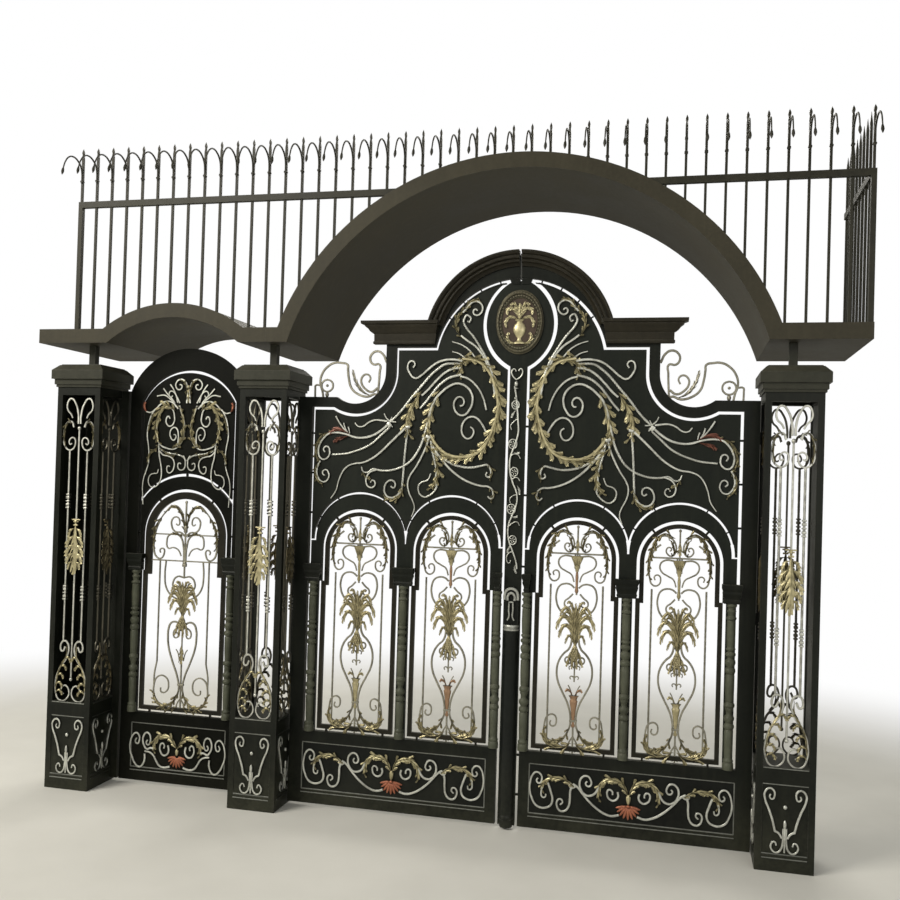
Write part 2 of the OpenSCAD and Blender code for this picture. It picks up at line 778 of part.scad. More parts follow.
// Applied scrolls of a leaf, all branching from the collar beside the oval. Each row is a
// place on the upper plate, then its steps; places are measured from the meeting line.
leaf_rows = [
    [[322, neck_z - 96, 185], [[215, 85], [110], [215, 90], [185, 90], [215, 90], [80, 180],
        [50, 180], [28, 150]]],
    [[224, neck_z - 486, 90], [[50, -180], [33, -180], [17, -140]]],
    [[118, neck_z - 300, 84], [[640, -37], [32, 170], [18, -150]]],
    [[190, neck_z - 120, 62], [[260, -45], [34, -120]]],
    [[352, neck_z - 80, 8], [[260, -46], [100], [50, 170], [28, 150]]],
    [[352, neck_z - 108, 0], [[200, -48], [380]]],
    [[352, neck_z - 140, 0], [[180, -46], [110], [330, -25], [60]]],
    [[352, neck_z - 184, -5], [[190, -48], [260, -30]]],
    [[786, neck_z - 478, -48], [[240, 66], [90], [95, -110], [52, -120], [28, -130]]],
    [[770, neck_z - 505, -45], [[520, 42]]],
    [[545, neck_z - 575, -75], [[640, 18], [110, -58], [100, 58]]],
    [[552, neck_z - 480, -80], [[310, 85], [58, -190], [36, -150]]],
    [[664, neck_z - 505, -87], [[330], [60, 170], [42, 180], [20, 120]]],
    [[692, neck_z - 520, -47], [[240], [150, 45], [150, -75], [160, 40]]],
    [[478, neck_z - 650, -135], [[330, -45], [60], [68, 190], [42, 180], [22, 140]]]
];
module leaf_scrolls() {
    translate([0, plate_y, 0]) {
        for (row = leaf_rows) scroll(row[0], row[1], 12, 8);
        translate([(meet_slot + band_w + slot_out) / 2, 0, 0]) both() running_scroll(3);
    }
}

// Running scroll of a bottom panel: n arcs to one side, each with a volute in its hollow.
module running_scroll(n) {
    mid = sill_lo + panel_h / 2;
    r = panel_h * 0.31;
    step = 2 * r * sin(75);
    scroll([18, mid, 75], [for (i = [0 : n - 1]) [r, i % 2 == 0 ? -150 : 150]], 11, 8);
    for (i = [0 : n - 1]) translate([18 + (i + 0.5) * step, 0, mid]) mirror([0, 0, i % 2])
        scroll([-r * 0.5, -r * 0.35, 80], [[r * 0.5, -170], [r * 0.32, -180], [r * 0.18, -120]], 10, 8);
}

// Running wave with roses on the meeting stile.
module stile_wave() {
    pitch = 180;
    lo = cap_top + 60;
    for (i = [0 : 5]) translate([0, plate_y, lo + i * pitch]) mirror([i % 2, 0, 0]) {
        scroll([-34, 4, 65], [[150, 26], [95, -52], [60, 30]], 9, 7);
        translate([14, 0, 112]) rotate([90, 0, 0]) cylinder(r = 20, h = 10);
    }
}

// Scroll that stands on a leaf's shoulder and arches down into the hollow, with a ring.
module shoulder_scroll() {
    x = hollow_d + hollow_r + 33;
    translate([0, leaf_y + 22, 0]) {
        scroll([x, shoulder_z, 90], [[110], [85, 180], [130, -50], [40], [36, -200], [20, -140]], 12, 12);
        translate([x - 36, -1, shoulder_z + 76]) rotate([90, 0, 0]) difference() {
            cylinder(r = 33, h = 10);
            translate([0, 0, -cut]) cylinder(r = 24, h = 12);
        }
    }
}

module left_leaf_frame() {
    color("#2f3432") left_side() leaf_frame();
}
module left_leaf_upper_plate() {
    color("#3b413e") left_side() upper_plate();
}
module left_leaf_arcade() {
    color("#3b413e") left_side() arcade();
}
module left_leaf_window_frames() {
    color("#2f3432") left_side() window_frames();
}
module left_leaf_grilles() {
    color("#b3a67c") left_side() grilles();
}
module left_leaf_columns() {
    color("#77786a") left_side() columns();
}
module left_leaf_bottom_panel() {
    color("#262b29") left_side() bottom_panel();
}
module left_leaf_cornice() {
    color("#463f38") left_side() cornice();
}
module left_leaf_scrolls() {
    color("#a9ada5") left_side() leaf_scrolls();
}
module left_leaf_shoulder_scroll() {
    color("#a9ada5") left_side() shoulder_scroll();
}
module right_leaf_frame() {
    color("#2f3432") right_side() leaf_frame();
}
module right_leaf_upper_plate() {
    color("#3b413e") right_side() upper_plate();
}
module right_leaf_arcade() {
    color("#3b413e") right_side() arcade();
}
module right_leaf_window_frames() {
    color("#2f3432") right_side() window_frames();
}
module right_leaf_grilles() {
    color("#b3a67c") right_side() grilles();
}
module right_leaf_columns() {
    color("#77786a") right_side() columns();
}
module right_leaf_bottom_panel() {
    color("#262b29") right_side() bottom_panel();
}
module right_leaf_cornice() {
    color("#463f38") right_side() cornice();
}
module right_leaf_scrolls() {
    color("#a9ada5") right_side() {
        leaf_scrolls();
        stile_wave();
    }
}
module right_leaf_shoulder_scroll() {
    color("#a9ada5") right_side() shoulder_scroll();
}

// Meeting stile with its oval head, carried by the right leaf.
module meeting_stile() {
    color("#3b413e") right_side() {
        slab(plate_y, plate_t) intersection() {
            union() {
                rect(-meet_w / 2, floor_gap, meet_w / 2, oval_z - 200);
                oval(slot_w / 2 + oval_play);
            }
            union() {
                rect(-400, 0, 400, oval_z);
                translate([0, crown_slot_z]) circle(r = crown_slot_r + 6 - slot_w, $fn = 160);
            }
        }
        for (z = [sill_lo + 90, panel_top + 30, cap_top + 40, ring_z + 300, ring_z + 700])
            translate([meet_w / 2 - 4, plate_y + 5, z]) cube([slot_w + 4, 12, 12]);
    }
}

// Oval with its half axes a and b, t thick, lying on the meeting stile.
module oval_plate(a, b, t) {
    linear_extrude(t) scale([a / 100, b / 100]) circle(r = 100, $fn = 96);
}

module medallion() {
    color("#8a7a55") right_side() translate([0, plate_y, oval_z + 10]) rotate([90, 0, 0]) difference() {
        union() {
            oval_plate(medal_a, medal_b, 12);
            oval_plate(medal_a - 8, medal_b - 8, 20);
        }
        translate([0, 0, 14]) oval_plate(medal_a - 26, medal_b - 26, 10);
    }
}

// Lock case: a hood over a recess with a pull, and a double collar below.
module lock_case() {
    lo = pole_h + floor_gap + 4;
    hi = lo + lock_h;
    half = meet_w / 2 - 3;
    color("#9a9c98") right_side() translate([0, plate_y, 0]) {
        difference() {
            union() {
                block([-half, -34, lo + 26], [half, 0, hi - half]);
                translate([0, 0, hi - half]) rotate([90, 0, 0]) cylinder(r = half, h = 34);
            }
            block([-half + 14, -35, lo + 44], [half - 14, -10, hi - half]);
            translate([0, -10, hi - half]) rotate([90, 0, 0]) cylinder(r = half - 14, h = 30);
        }
        intersection() {
            union() for (z = [lo, lo + 15]) translate([0, 0, z]) cylinder(r = half, h = 11);
            block([-60, -60, 0], [60, 0, 3000]);
        }
        block([-half + 8, -36, lo + 1], [half - 8, 0, lo + 27]);
        block([-6, -26, lo + 60], [6, -18, hi - half - 30]);
        for (z = [lo + 60, hi - half - 42]) block([-6, -19, z], [6, -9, z + 12]);
    }
}

// Half round pole over the stile, with its ring and its foot.
module centre_pole() {
    color("#242827") right_side() intersection() {
        translate([0, plate_y, 0]) {
            translate([0, 0, floor_gap + 60]) cylinder(r = pole_r - 3, h = pole_h - 58);
            translate([0, 0, floor_gap + 36]) cylinder(r = pole_r, h = 26);
            translate([0, 0, floor_gap - 15]) cylinder(r = pole_r - 7, h = 52);
        }
        block([-60, plate_y - 60, 0], [60, plate_y, 3000]);
    }
}

// Walk gate, drawn about x = 0

module walk_silhouette() {
    intersection() {
        rect(-walk_half, floor_gap, walk_half, walk_top);
        union() {
            rect(-walk_half, floor_gap, walk_half, walk_crown_z + 100);
            translate([0, walk_crown_z]) circle(r = walk_r, $fn = 120);
        }
    }
}
module walk_field(s) {
    intersection() {
        rect(-walk_slot_x + s, sill_z, walk_slot_x - s, walk_top);
        union() {
            rect(-walk_half, sill_z, walk_half, walk_slot_z + 100);
            translate([0, walk_slot_z]) circle(r = walk_slot_r + 6 - s, $fn = 120);
        }
    }
}
module walk_gate_frame() {
    color("#2f3432") translate([walk_x, 0, 0]) {
        slab(walk_y, frame_t) difference() {
            walk_silhouette();
            walk_field(0);
            rect(-walk_slot_x, sill_lo, walk_slot_x, panel_top);
        }
        leaf_barrels(walk_half + walk_gap / 2, walk_hinge_y, -1);
    }
}
module walk_gate_upper_plate() {
    color("#3b413e") translate([walk_x, 0, 0]) {
        slab(walk_plate_y, plate_t) difference() {
            walk_field(slot_w);
            window_cut(0, walk_low, walk_up, sill_z - cut, walk_spring);
            intersection() {
                difference() {
                    translate([0, walk_spring]) circle(r = walk_band_r + slot_w / 2, $fn = 120);
                    translate([0, walk_spring]) circle(r = walk_band_r - slot_w / 2, $fn = 120);
                }
                rect(-walk_half, walk_spring, walk_half, walk_top);
            }
        }
        for (a = [-35, 0, 35]) translate([0, 0, walk_spring]) rotate([0, a, 0])
            block([-6, walk_plate_y + 5, walk_band_r - slot_w / 2 - 4],
                [6, walk_plate_y + 17, walk_band_r + slot_w / 2 + 4]);
        both() for (z = [700, 1600, 1900])
            block([walk_slot_x - slot_w - 4, walk_plate_y + 5, z],
                [walk_slot_x, walk_plate_y + 17, z + 12]);
    }
}
module walk_gate_window_frame() {
    color("#2f3432") translate([walk_x, 0, 0])
        {
            window_frame(0, walk_plate_y, sill_z + slot_w, walk_low, walk_up, walk_spring, walk_sash);
            window_tabs(0, walk_plate_y, walk_low, walk_up, walk_spring);
        }
}
module walk_gate_grille() {
    color("#b3a67c") translate([walk_x, 0, 0])
        grille(0, walk_plate_y, sill_z + slot_w, walk_low, walk_up, walk_spring, walk_sash);
}
module walk_gate_columns() {
    color("#77786a") for (k = [-1, 1]) translate([walk_x + k * walk_column, walk_y, sill_z])
        column(column_h, 98, 0);
}
module walk_gate_bottom_panel() {
    color("#262b29") translate([walk_x, 0, 0]) slab(walk_plate_y, plate_t)
        rect(-walk_slot_x, sill_lo, walk_slot_x, panel_top);
}
// Applied scrolls of the walk gate: rows as on a leaf, on both sides of the middle.
walk_rows = [
    [[24, walk_slot_z + 290, 80], [[48, -190], [30, -160], [18, -120]]],
    [[30, walk_slot_z + 200, 20], [[150, -100], [200, 25], [46, -190], [28, -140]]],
    [[22, walk_slot_z - 30, 80], [[40, -180], [24, -150]]],
    [[276, walk_slot_z - 110, -92], [[420, -14], [56, -170], [30, -140]]]
];
module walk_gate_scrolls() {
    color("#a9ada5") translate([walk_x, walk_plate_y, 0]) both() {
        for (row = walk_rows) scroll(row[0], row[1], 12, 8);
        running_scroll(1);
    }
}

left_post();
middle_post();
right_post();
post_caps();
post_grilles();
post_base_scrolls();
canopy_walk_span();
canopy_drive_arch();
railing_left();
railing_over_arch();
railing_right();
railing_return();
railing_hooks();
left_leaf_frame();
left_leaf_upper_plate();
left_leaf_arcade();
left_leaf_window_frames();
left_leaf_grilles();
left_leaf_columns();
left_leaf_bottom_panel();
left_leaf_cornice();
left_leaf_scrolls();
left_leaf_shoulder_scroll();
right_leaf_frame();
right_leaf_upper_plate();
right_leaf_arcade();
right_leaf_window_frames();
right_leaf_grilles();
right_leaf_columns();
right_leaf_bottom_panel();
right_leaf_cornice();
right_leaf_scrolls();
right_leaf_shoulder_scroll();
meeting_stile();
medallion();
lock_case();
centre_pole();
walk_gate_frame();
walk_gate_upper_plate();
walk_gate_window_frame();
walk_gate_grille();
walk_gate_columns();
walk_gate_bottom_panel();
walk_gate_scrolls();
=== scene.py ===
import json
import math

import bmesh
import bpy
from mathutils import Matrix, Vector


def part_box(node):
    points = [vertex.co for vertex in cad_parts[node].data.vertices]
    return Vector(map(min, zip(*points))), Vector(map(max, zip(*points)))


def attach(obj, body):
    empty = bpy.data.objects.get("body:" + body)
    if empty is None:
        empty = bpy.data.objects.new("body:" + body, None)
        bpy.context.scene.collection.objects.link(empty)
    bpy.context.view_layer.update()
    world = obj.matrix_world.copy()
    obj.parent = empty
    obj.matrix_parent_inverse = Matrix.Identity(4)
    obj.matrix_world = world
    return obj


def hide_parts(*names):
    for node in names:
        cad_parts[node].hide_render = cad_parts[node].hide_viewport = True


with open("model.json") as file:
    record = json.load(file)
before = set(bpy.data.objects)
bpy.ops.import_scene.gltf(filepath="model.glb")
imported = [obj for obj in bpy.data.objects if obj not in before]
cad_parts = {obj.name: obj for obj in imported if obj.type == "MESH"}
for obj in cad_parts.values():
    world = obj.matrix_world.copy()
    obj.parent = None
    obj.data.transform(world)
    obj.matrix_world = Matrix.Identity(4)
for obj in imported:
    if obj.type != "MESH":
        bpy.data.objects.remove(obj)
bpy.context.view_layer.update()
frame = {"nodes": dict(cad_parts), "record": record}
nodes = frame["nodes"]
scene = bpy.context.scene
print("frame loaded:", len(nodes), "nodes")

# Camera, fitted to the photograph's post edges and long lines
view = {"place": (2.439, -5.568, 1.988), "yaw": 0.2356, "pitch": 0.0138, "roll": 0.0298,
        "lens": 39.0, "sensor": 36, "shiftX": 0.0045, "shiftY": 0.0213, "farEnd": 200}
cy, sy = math.cos(view["yaw"]), math.sin(view["yaw"])
cp, sp = math.cos(view["pitch"]), math.sin(view["pitch"])
cr, sr = math.cos(view["roll"]), math.sin(view["roll"])
ahead = Vector((-sy * cp, cy * cp, sp))
right = Vector((cy, sy, 0))
up = right.cross(ahead)
camRight = right * cr + up * sr
camUp = up * cr - right * sr
cam = bpy.data.objects.new("camera", bpy.data.cameras.new("camera"))
cam.matrix_world = Matrix((camRight, camUp, -ahead)).transposed().to_4x4()
cam.location = view["place"]
cam.data.lens = view["lens"]
cam.data.sensor_width = view["sensor"]
cam.data.shift_x = view["shiftX"]
cam.data.shift_y = view["shiftY"]
cam.data.clip_end = view["farEnd"]
scene.collection.objects.link(cam)
scene.camera = cam
scene.view_settings.view_transform = "Standard"


# Node helpers: inputs are values, or (node, output) pairs that are linked
def feed(tree, node, inputs):
    for key, value in inputs.items():
        if isinstance(value, bpy.types.Node):
            value = (value, 0)
        if isinstance(value, tuple) and isinstance(value[0], bpy.types.Node):
            tree.links.new(value[0].outputs[value[1]], node.inputs[key])
        else:
            node.inputs[key].default_value = value
    return node


def addNode(tree, kind, inputs=None, **props):
    n = tree.nodes.new(kind)
    for key, value in props.items():
        setattr(n, key, value)
    return feed(tree, n, inputs or {})


def math2(tree, op, a, b=None, c=None, clamp=False):
    ins = {0: a}
    if b is not None:
        ins[1] = b
    if c is not None:
        ins[2] = c
    return addNode(tree, "ShaderNodeMath", ins, operation=op, use_clamp=clamp)


def newGroup(name, inputs, outputs):
    g = bpy.data.node_groups.new(name, "ShaderNodeTree")
    for label, value in inputs.items():
        s = g.interface.new_socket(label, in_out="INPUT", socket_type="NodeSocketFloat")
        s.default_value = value
    for label in outputs:
        g.interface.new_socket(label, in_out="OUTPUT", socket_type="NodeSocketFloat")
    return g, g.nodes.new("NodeGroupInput"), g.nodes.new("NodeGroupOutput")


# Weathering: mottling, rain streaks, dust low down and on ledges, fine paint texture
weathering = {"fineScale": 46.0, "fineShare": 0.3, "streakScale": (26.0, 26.0, 1.6), "peelScale": 190.0,
              "peelHeight": 0.4, "splashHeight": 0.45, "splash": 0.75}
weather, win, wout = newGroup("weathering", {"Blotch": 3.0, "Dust": 0.5}, ["Tone", "Streak", "Dust", "Height"])
wc = addNode(weather, "ShaderNodeTexCoord")
blot = addNode(weather, "ShaderNodeTexNoise", {"Vector": (wc, "Object"), "Scale": (win, "Blotch"), "Detail": 6.0,
               "Roughness": 0.62})
fine = addNode(weather, "ShaderNodeTexNoise",
               {"Vector": (wc, "Object"), "Scale": weathering["fineScale"], "Detail": 4.0})
coarse = math2(weather, "MULTIPLY", (blot, "Fac"), 1 - weathering["fineShare"])
toneMix = math2(weather, "MULTIPLY_ADD", (fine, "Fac"), weathering["fineShare"], (coarse, 0))
stretch = addNode(weather, "ShaderNodeMapping", {"Vector": (wc, "Object"), "Scale": weathering["streakScale"]})
streaks = addNode(weather, "ShaderNodeTexNoise", {"Vector": (stretch, 0), "Scale": 1.0, "Detail": 3.0})
streakMask = addNode(weather, "ShaderNodeMapRange", {"Value": (streaks, "Fac"), "From Min": 0.52, "From Max": 0.72})
wsep = addNode(weather, "ShaderNodeSeparateXYZ", {0: (wc, "Object")})
wnor = addNode(weather, "ShaderNodeSeparateXYZ", {0: (wc, "Normal")})
low = addNode(weather, "ShaderNodeMapRange", {"Value": (wsep, 2), "From Min": weathering["splashHeight"],
              "From Max": 0.0, "To Max": weathering["splash"]})
ledge = addNode(weather, "ShaderNodeMapRange", {"Value": (wnor, 2), "From Min": 0.45, "From Max": 0.95})
settle = math2(weather, "MAXIMUM", (low, 0), (ledge, 0))
dustNoise = addNode(weather, "ShaderNodeMapRange", {"Value": (toneMix, 0), "From Min": 0.32, "From Max": 0.66})
lying = math2(weather, "MULTIPLY", (settle, 0), (dustNoise, 0))
dusty = math2(weather, "MULTIPLY", (lying, 0), (win, "Dust"), clamp=True)
peel = addNode(weather, "ShaderNodeTexNoise",
               {"Vector": (wc, "Object"), "Scale": weathering["peelScale"], "Detail": 2.0})
feed(weather, wout, {"Tone": toneMix, "Streak": streakMask, "Dust": dusty,
                     "Height": math2(weather, "MULTIPLY_ADD", (peel, "Fac"), weathering["peelHeight"], (toneMix, 0))})

# Brushed finish: the paint wiped on the faces that look out to the street or the yard
wiped = {"skipScale": 60.0, "skipShare": 0.35}
brushed, brushIn, brushOut = newGroup("brushed", {"Cover": 0.7}, ["Mask", "Grain"])
bc = addNode(brushed, "ShaderNodeTexCoord")
bsep = addNode(brushed, "ShaderNodeSeparateXYZ", {0: (bc, "Normal")})
face = addNode(brushed, "ShaderNodeMapRange", {"Value": (math2(brushed, "ABSOLUTE", (bsep, 1)), 0), "From Min": 0.05,
               "From Max": 0.8})
skip = addNode(brushed, "ShaderNodeTexNoise", {"Vector": (bc, "Object"), "Scale": wiped["skipScale"],
               "Detail": 5.0, "Roughness": 0.7})
gaps = addNode(brushed, "ShaderNodeMapRange", {"Value": (skip, "Fac"), "From Min": 0.3, "From Max": 0.5})
spread = math2(brushed, "MULTIPLY_ADD", (gaps, 0), wiped["skipShare"], (brushIn, "Cover"))
feed(brushed, brushOut, {"Mask": math2(brushed, "MULTIPLY", (face, 0), (spread, 0), clamp=True), "Grain": skip})


def newMaterial(name):
    m = bpy.data.materials.new(name)
    m.use_nodes = True
    t = m.node_tree
    t.nodes.clear()
    out = addNode(t, "ShaderNodeOutputMaterial")
    bsdf = addNode(t, "ShaderNodeBsdfPrincipled")
    t.links.new(bsdf.outputs[0], out.inputs[0])
    return m, t, bsdf


def mixColour(t, fac, a, b):
    factorIn, colourIn, otherIn = 0, 6, 7
    return addNode(t, "ShaderNodeMix", {factorIn: fac, colourIn: a, otherIn: b}, data_type="RGBA")


def rgb(r, g, b):
    return (r, g, b, 1.0)


# Painted steel: dark, light, dust and streak colours, roughness range, and pale edges that are edge wear and a
# painted highlight
def paint(name, dark, light, dust, rough, blotch=3.0, dustAmount=0.5, edgeWearAndHighlight=0.25, wearAndHighlightColour=(0.3, 0.3, 0.27),
          bevel=0.003, bump=0.07, shine=0.19):
    m, t, bsdf = newMaterial(name)
    w = addNode(t, "ShaderNodeGroup", node_tree=weather)
    feed(t, w, {"Blotch": blotch, "Dust": dustAmount})
    spread = addNode(t, "ShaderNodeMapRange", {"Value": (w, "Tone"), "From Min": 0.3, "From Max": 0.68})
    base = mixColour(t, (spread, 0), rgb(*dark), rgb(*light))
    streak = mixColour(t, (math2(t, "MULTIPLY", (w, "Streak"), 0.05), 0), (base, 2), rgb(*dust))
    dusted = mixColour(t, (w, "Dust"), (streak, 2), rgb(*dust))
    # Pale patches along the edges: wear, and a painted highlight where edges catch the light
    rounded = addNode(t, "ShaderNodeBevel", {"Radius": bevel}, samples=4)
    geo = addNode(t, "ShaderNodeNewGeometry")
    lean = addNode(t, "ShaderNodeVectorMath", {0: (rounded, 0), 1: (geo, "Normal")}, operation="DOT_PRODUCT")
    edge = addNode(t, "ShaderNodeMapRange", {"Value": (lean, "Value"), "From Min": 0.985, "From Max": 0.86,
                   "To Max": edgeWearAndHighlight})
    worn = addNode(t, "ShaderNodeMapRange", {"Value": (w, "Tone"), "From Min": 0.36, "From Max": 0.56})
    rubAndHighlight = math2(t, "MULTIPLY", (edge, 0), (worn, 0))
    final = mixColour(t, (rubAndHighlight, 0), (dusted, 2), rgb(*wearAndHighlightColour))
    r = addNode(t, "ShaderNodeMapRange", {"Value": (w, "Tone"), "From Min": 0.3, "From Max": 0.7,
                "To Min": rough[0], "To Max": rough[1]})
    b = addNode(t, "ShaderNodeBump", {"Strength": bump, "Distance": 0.002, "Height": (w, "Height"),
                "Normal": (rounded, 0)})
    feed(t, bsdf, {"Base Color": (final, 2), "Normal": b, "Specular IOR Level": shine,
                   "Roughness": math2(t, "MULTIPLY_ADD", (w, "Dust"), 0.35, (r, 0), clamp=True)})
    return m


# Brushed metal paint over dark iron: colour of the paint, its darker patina, the iron below. The patina colour also
# goes into hollows and creases as painted shade.
def leafing(name, bright, patinaAndShade, under, rough=(0.32, 0.55), cover=0.7, metal=0.75, blotch=14.0, bump=0.25):
    m, t, bsdf = newMaterial(name)
    b = addNode(t, "ShaderNodeGroup", node_tree=brushed)
    feed(t, b, {"Cover": cover})
    w = addNode(t, "ShaderNodeGroup", node_tree=weather)
    feed(t, w, {"Blotch": blotch})
    shade = addNode(t, "ShaderNodeMapRange", {"Value": (w, "Tone"), "From Min": 0.34, "From Max": 0.6})
    # Darker in hollows and creases: patina, and painted shade where the lobes close in
    hollowShade = addNode(t, "ShaderNodeAmbientOcclusion", {"Distance": 0.018}, samples=4, only_local=True)
    unshaded = addNode(t, "ShaderNodeMapRange", {"Value": (hollowShade, "AO"), "From Min": 0.42, "From Max": 0.88})
    tone = math2(t, "MULTIPLY", (unshaded, 0), (math2(t, "MULTIPLY_ADD", (shade, 0), 0.6, 0.4), 0))
    top = mixColour(t, (tone, 0), rgb(*patinaAndShade), rgb(*bright))
    final = mixColour(t, (b, "Mask"), rgb(*under), (top, 2))
    r = addNode(t, "ShaderNodeMapRange", {"Value": (b, "Grain"), "From Min": 0.3, "From Max": 0.7,
                "To Min": rough[0], "To Max": rough[1]})
    grain = addNode(t, "ShaderNodeBump", {"Strength": bump, "Distance": 0.0015, "Height": (b, "Grain")})
    feed(t, bsdf, {"Base Color": (final, 2), "Metallic": math2(t, "MULTIPLY", (b, "Mask"), metal), "Roughness": r,
                   "Normal": grain})
    return m


dustTone = (0.078, 0.077, 0.05)
mats = {
    "post_paint": paint("postPaint", (0.0035, 0.0045, 0.003), (0.011, 0.0125, 0.0085), dustTone, (0.34, 0.5)),
    "dark_frame": paint("framePaint", (0.002, 0.0029, 0.0018), (0.007, 0.0088, 0.0056), dustTone, (0.34, 0.5)),
    "dark_plate": paint("platePaint", (0.0035, 0.0052, 0.0034), (0.009, 0.0118, 0.0078), dustTone, (0.42, 0.58)),
    "window_frame": paint("windowPaint", (0.005, 0.005, 0.003), (0.02, 0.0175, 0.011), dustTone, (0.3, 0.45)),
    "black_panel": paint("panelPaint", (0.0012, 0.0019, 0.0014), (0.0045, 0.006, 0.0046), (0.04, 0.041, 0.028),
                         (0.4, 0.55)),
    "pole_paint": paint("polePaint", (0.004, 0.005, 0.0045), (0.012, 0.0145, 0.013), dustTone, (0.28, 0.4)),
    "olive_columns": paint("columnPaint", (0.045, 0.049, 0.034), (0.1, 0.106, 0.075), (0.16, 0.15, 0.115),
                           (0.35, 0.5), edgeWearAndHighlight=0.5, wearAndHighlightColour=(0.3, 0.3, 0.25)),
    "cornice_paint": paint("cornicePaint", (0.009, 0.0078, 0.005), (0.024, 0.0205, 0.0125), dustTone, (0.3, 0.44)),
    "canopy_paint": paint("canopyPaint", (0.026, 0.0235, 0.0152), (0.05, 0.0445, 0.0285), (0.15, 0.13, 0.09),
                          (0.45, 0.62), blotch=1.6, dustAmount=0.3),
    "railing_paint": paint("railingPaint", (0.014, 0.014, 0.0095), (0.036, 0.034, 0.023), dustTone, (0.4, 0.55)),
    "silver_ironwork": leafing("silverIronwork", (0.66, 0.66, 0.6), (0.17, 0.17, 0.145), (0.014, 0.015, 0.011)),
    # Darker copies of the silver and gold for the posts' side and back faces: painted shade
    "shade_ironwork": leafing("shadeIronwork", (0.13, 0.12, 0.09), (0.04, 0.037, 0.026), (0.01, 0.01, 0.007),
                              cover=0.5),
    "shade_gold": leafing("shadeGold", (0.2, 0.165, 0.085), (0.05, 0.042, 0.02), (0.01, 0.009, 0.005), cover=0.5),
    # The walk gate's paint: darker and less shiny than the frame paint, painted shade from the canopy over it
    "walk_shade_paint": paint("walkShadePaint", (0.0018, 0.0022, 0.0015), (0.006, 0.0066, 0.0044), (0.024, 0.023, 0.016),
                        (0.4, 0.55), shine=0.07),
    "window_ironwork": leafing("windowIronwork", (0.42, 0.4, 0.32), (0.09, 0.085, 0.06), (0.012, 0.012, 0.008),
                               cover=0.5),
    "copper_ironwork": leafing("copperIronwork", (0.4, 0.25, 0.15), (0.15, 0.085, 0.05), (0.02, 0.013, 0.008),
                               metal=0.6),
    "olive_gold": leafing("oliveGold", (0.5, 0.44, 0.26), (0.11, 0.094, 0.046), (0.016, 0.014, 0.008), cover=0.72),
    "silver_scrolls": leafing("silverScrolls", (0.7, 0.71, 0.65), (0.2, 0.2, 0.175), (0.014, 0.016, 0.012),
                              cover=0.75),
    "gold_ironwork": leafing("goldIronwork", (0.64, 0.575, 0.35), (0.12, 0.105, 0.05), (0.014, 0.013, 0.007),
                             cover=0.76),
    "medallion_gold": leafing("medallionGold", (0.33, 0.31, 0.17), (0.075, 0.068, 0.034), (0.012, 0.011, 0.008),
                              cover=0.4),
    "medallion_ground": leafing("medallionGround", (0.075, 0.052, 0.038), (0.032, 0.023, 0.017), (0.015, 0.01, 0.008),
                                metal=0.5),
    # Pin mouldings: a pale brushed finish that also paints the highlight on their rounds
    "pin_mouldings": leafing("pinMouldings", (0.3, 0.31, 0.28), (0.1, 0.105, 0.09), (0.02, 0.022, 0.018), cover=0.5),
    "red_accents": leafing("redAccents", (0.42, 0.15, 0.08), (0.16, 0.05, 0.03), (0.025, 0.012, 0.008), metal=0.4),
    "dull_red": leafing("dullRed", (0.19, 0.07, 0.046), (0.075, 0.027, 0.018), (0.02, 0.01, 0.008), metal=0.4),
    "medallion_rim": leafing("medallionRim", (0.15, 0.135, 0.085), (0.05, 0.045, 0.028), (0.012, 0.011, 0.008),
                             cover=0.45),
    "lock_metal": leafing("lockMetal", (0.5, 0.51, 0.47), (0.2, 0.2, 0.18), (0.03, 0.032, 0.028)),
    # The post caps get a lighter copy of the post paint: painted sunlight on them
    "cap_sunlit_paint": paint("capSunlitPaint", (0.018, 0.019, 0.0125), (0.04, 0.04, 0.028), (0.13, 0.12, 0.09), (0.36, 0.5)),
}
slotOf = {row["node"]: row["material_slot"] for row in frame["record"]["subparts"]}
ownFinish = {"post_caps": "cap_sunlit_paint", "walk_gate_frame": "walk_shade_paint", "walk_gate_upper_plate": "walk_shade_paint",
             "walk_gate_bottom_panel": "walk_shade_paint"}
for name, obj in nodes.items():
    obj.data.materials.clear()
    obj.data.materials.append(mats[ownFinish.get(name, slotOf[name])])
print("materials:", len(mats))

# Ornament. All of it is drawn in millimetres in a flat frame (u to the right, v up, w out to the viewer)
# and hung on the gate by a matrix. A side of -1 turns it left for right.
mm = 0.001


def hang(side, u, y):
    return Matrix(((side * mm, 0, 0, u * mm), (0, 0, -mm, y * mm), (0, mm, 0, 0), (0, 0, 0, 1)))


def turnedTo(turn):
    return Matrix.Rotation(math.radians(turn), 4, "Z")


def onPost(x, turn, depth):
    return Matrix.Translation((x * mm, 0, 0)) @ turnedTo(turn) @ hang(1, 0, -depth)


# The square section with round corners that bars are swept with
def section(name, half, corner):
    crv = bpy.data.curves.new(name, "CURVE")
    crv.dimensions = "2D"
    sp = crv.splines.new("POLY")
    outline = []
    for cx, cz, a in ((1, 1, 0), (-1, 1, 90), (-1, -1, 180), (1, -1, 270)):
        for k in (10, 80):
            t = math.radians(a + k)
            outline.append([c * (half - corner) + corner * bend
                            for c, bend in ((cx, math.cos(t)), (cz, math.sin(t)))])
    sp.points.add(len(outline) - 1)
    for p, (a, b) in zip(sp.points, outline):
        p.co = (a, b, 0, 1)
    sp.use_cyclic_u = True
    obj = bpy.data.objects.new(name, crv)
    scene.collection.objects.link(obj)
    return obj


square = section("squareSection", 1.0, 0.45)
mergeDist = 0.001


def asMesh(bm, name):
    me = bpy.data.meshes.new(name)
    bm.to_mesh(me)
    bm.free()
    return me


def outward(bm, name):
    bmesh.ops.recalc_face_normals(bm, faces=bm.faces[:])
    return asMesh(bm, name)


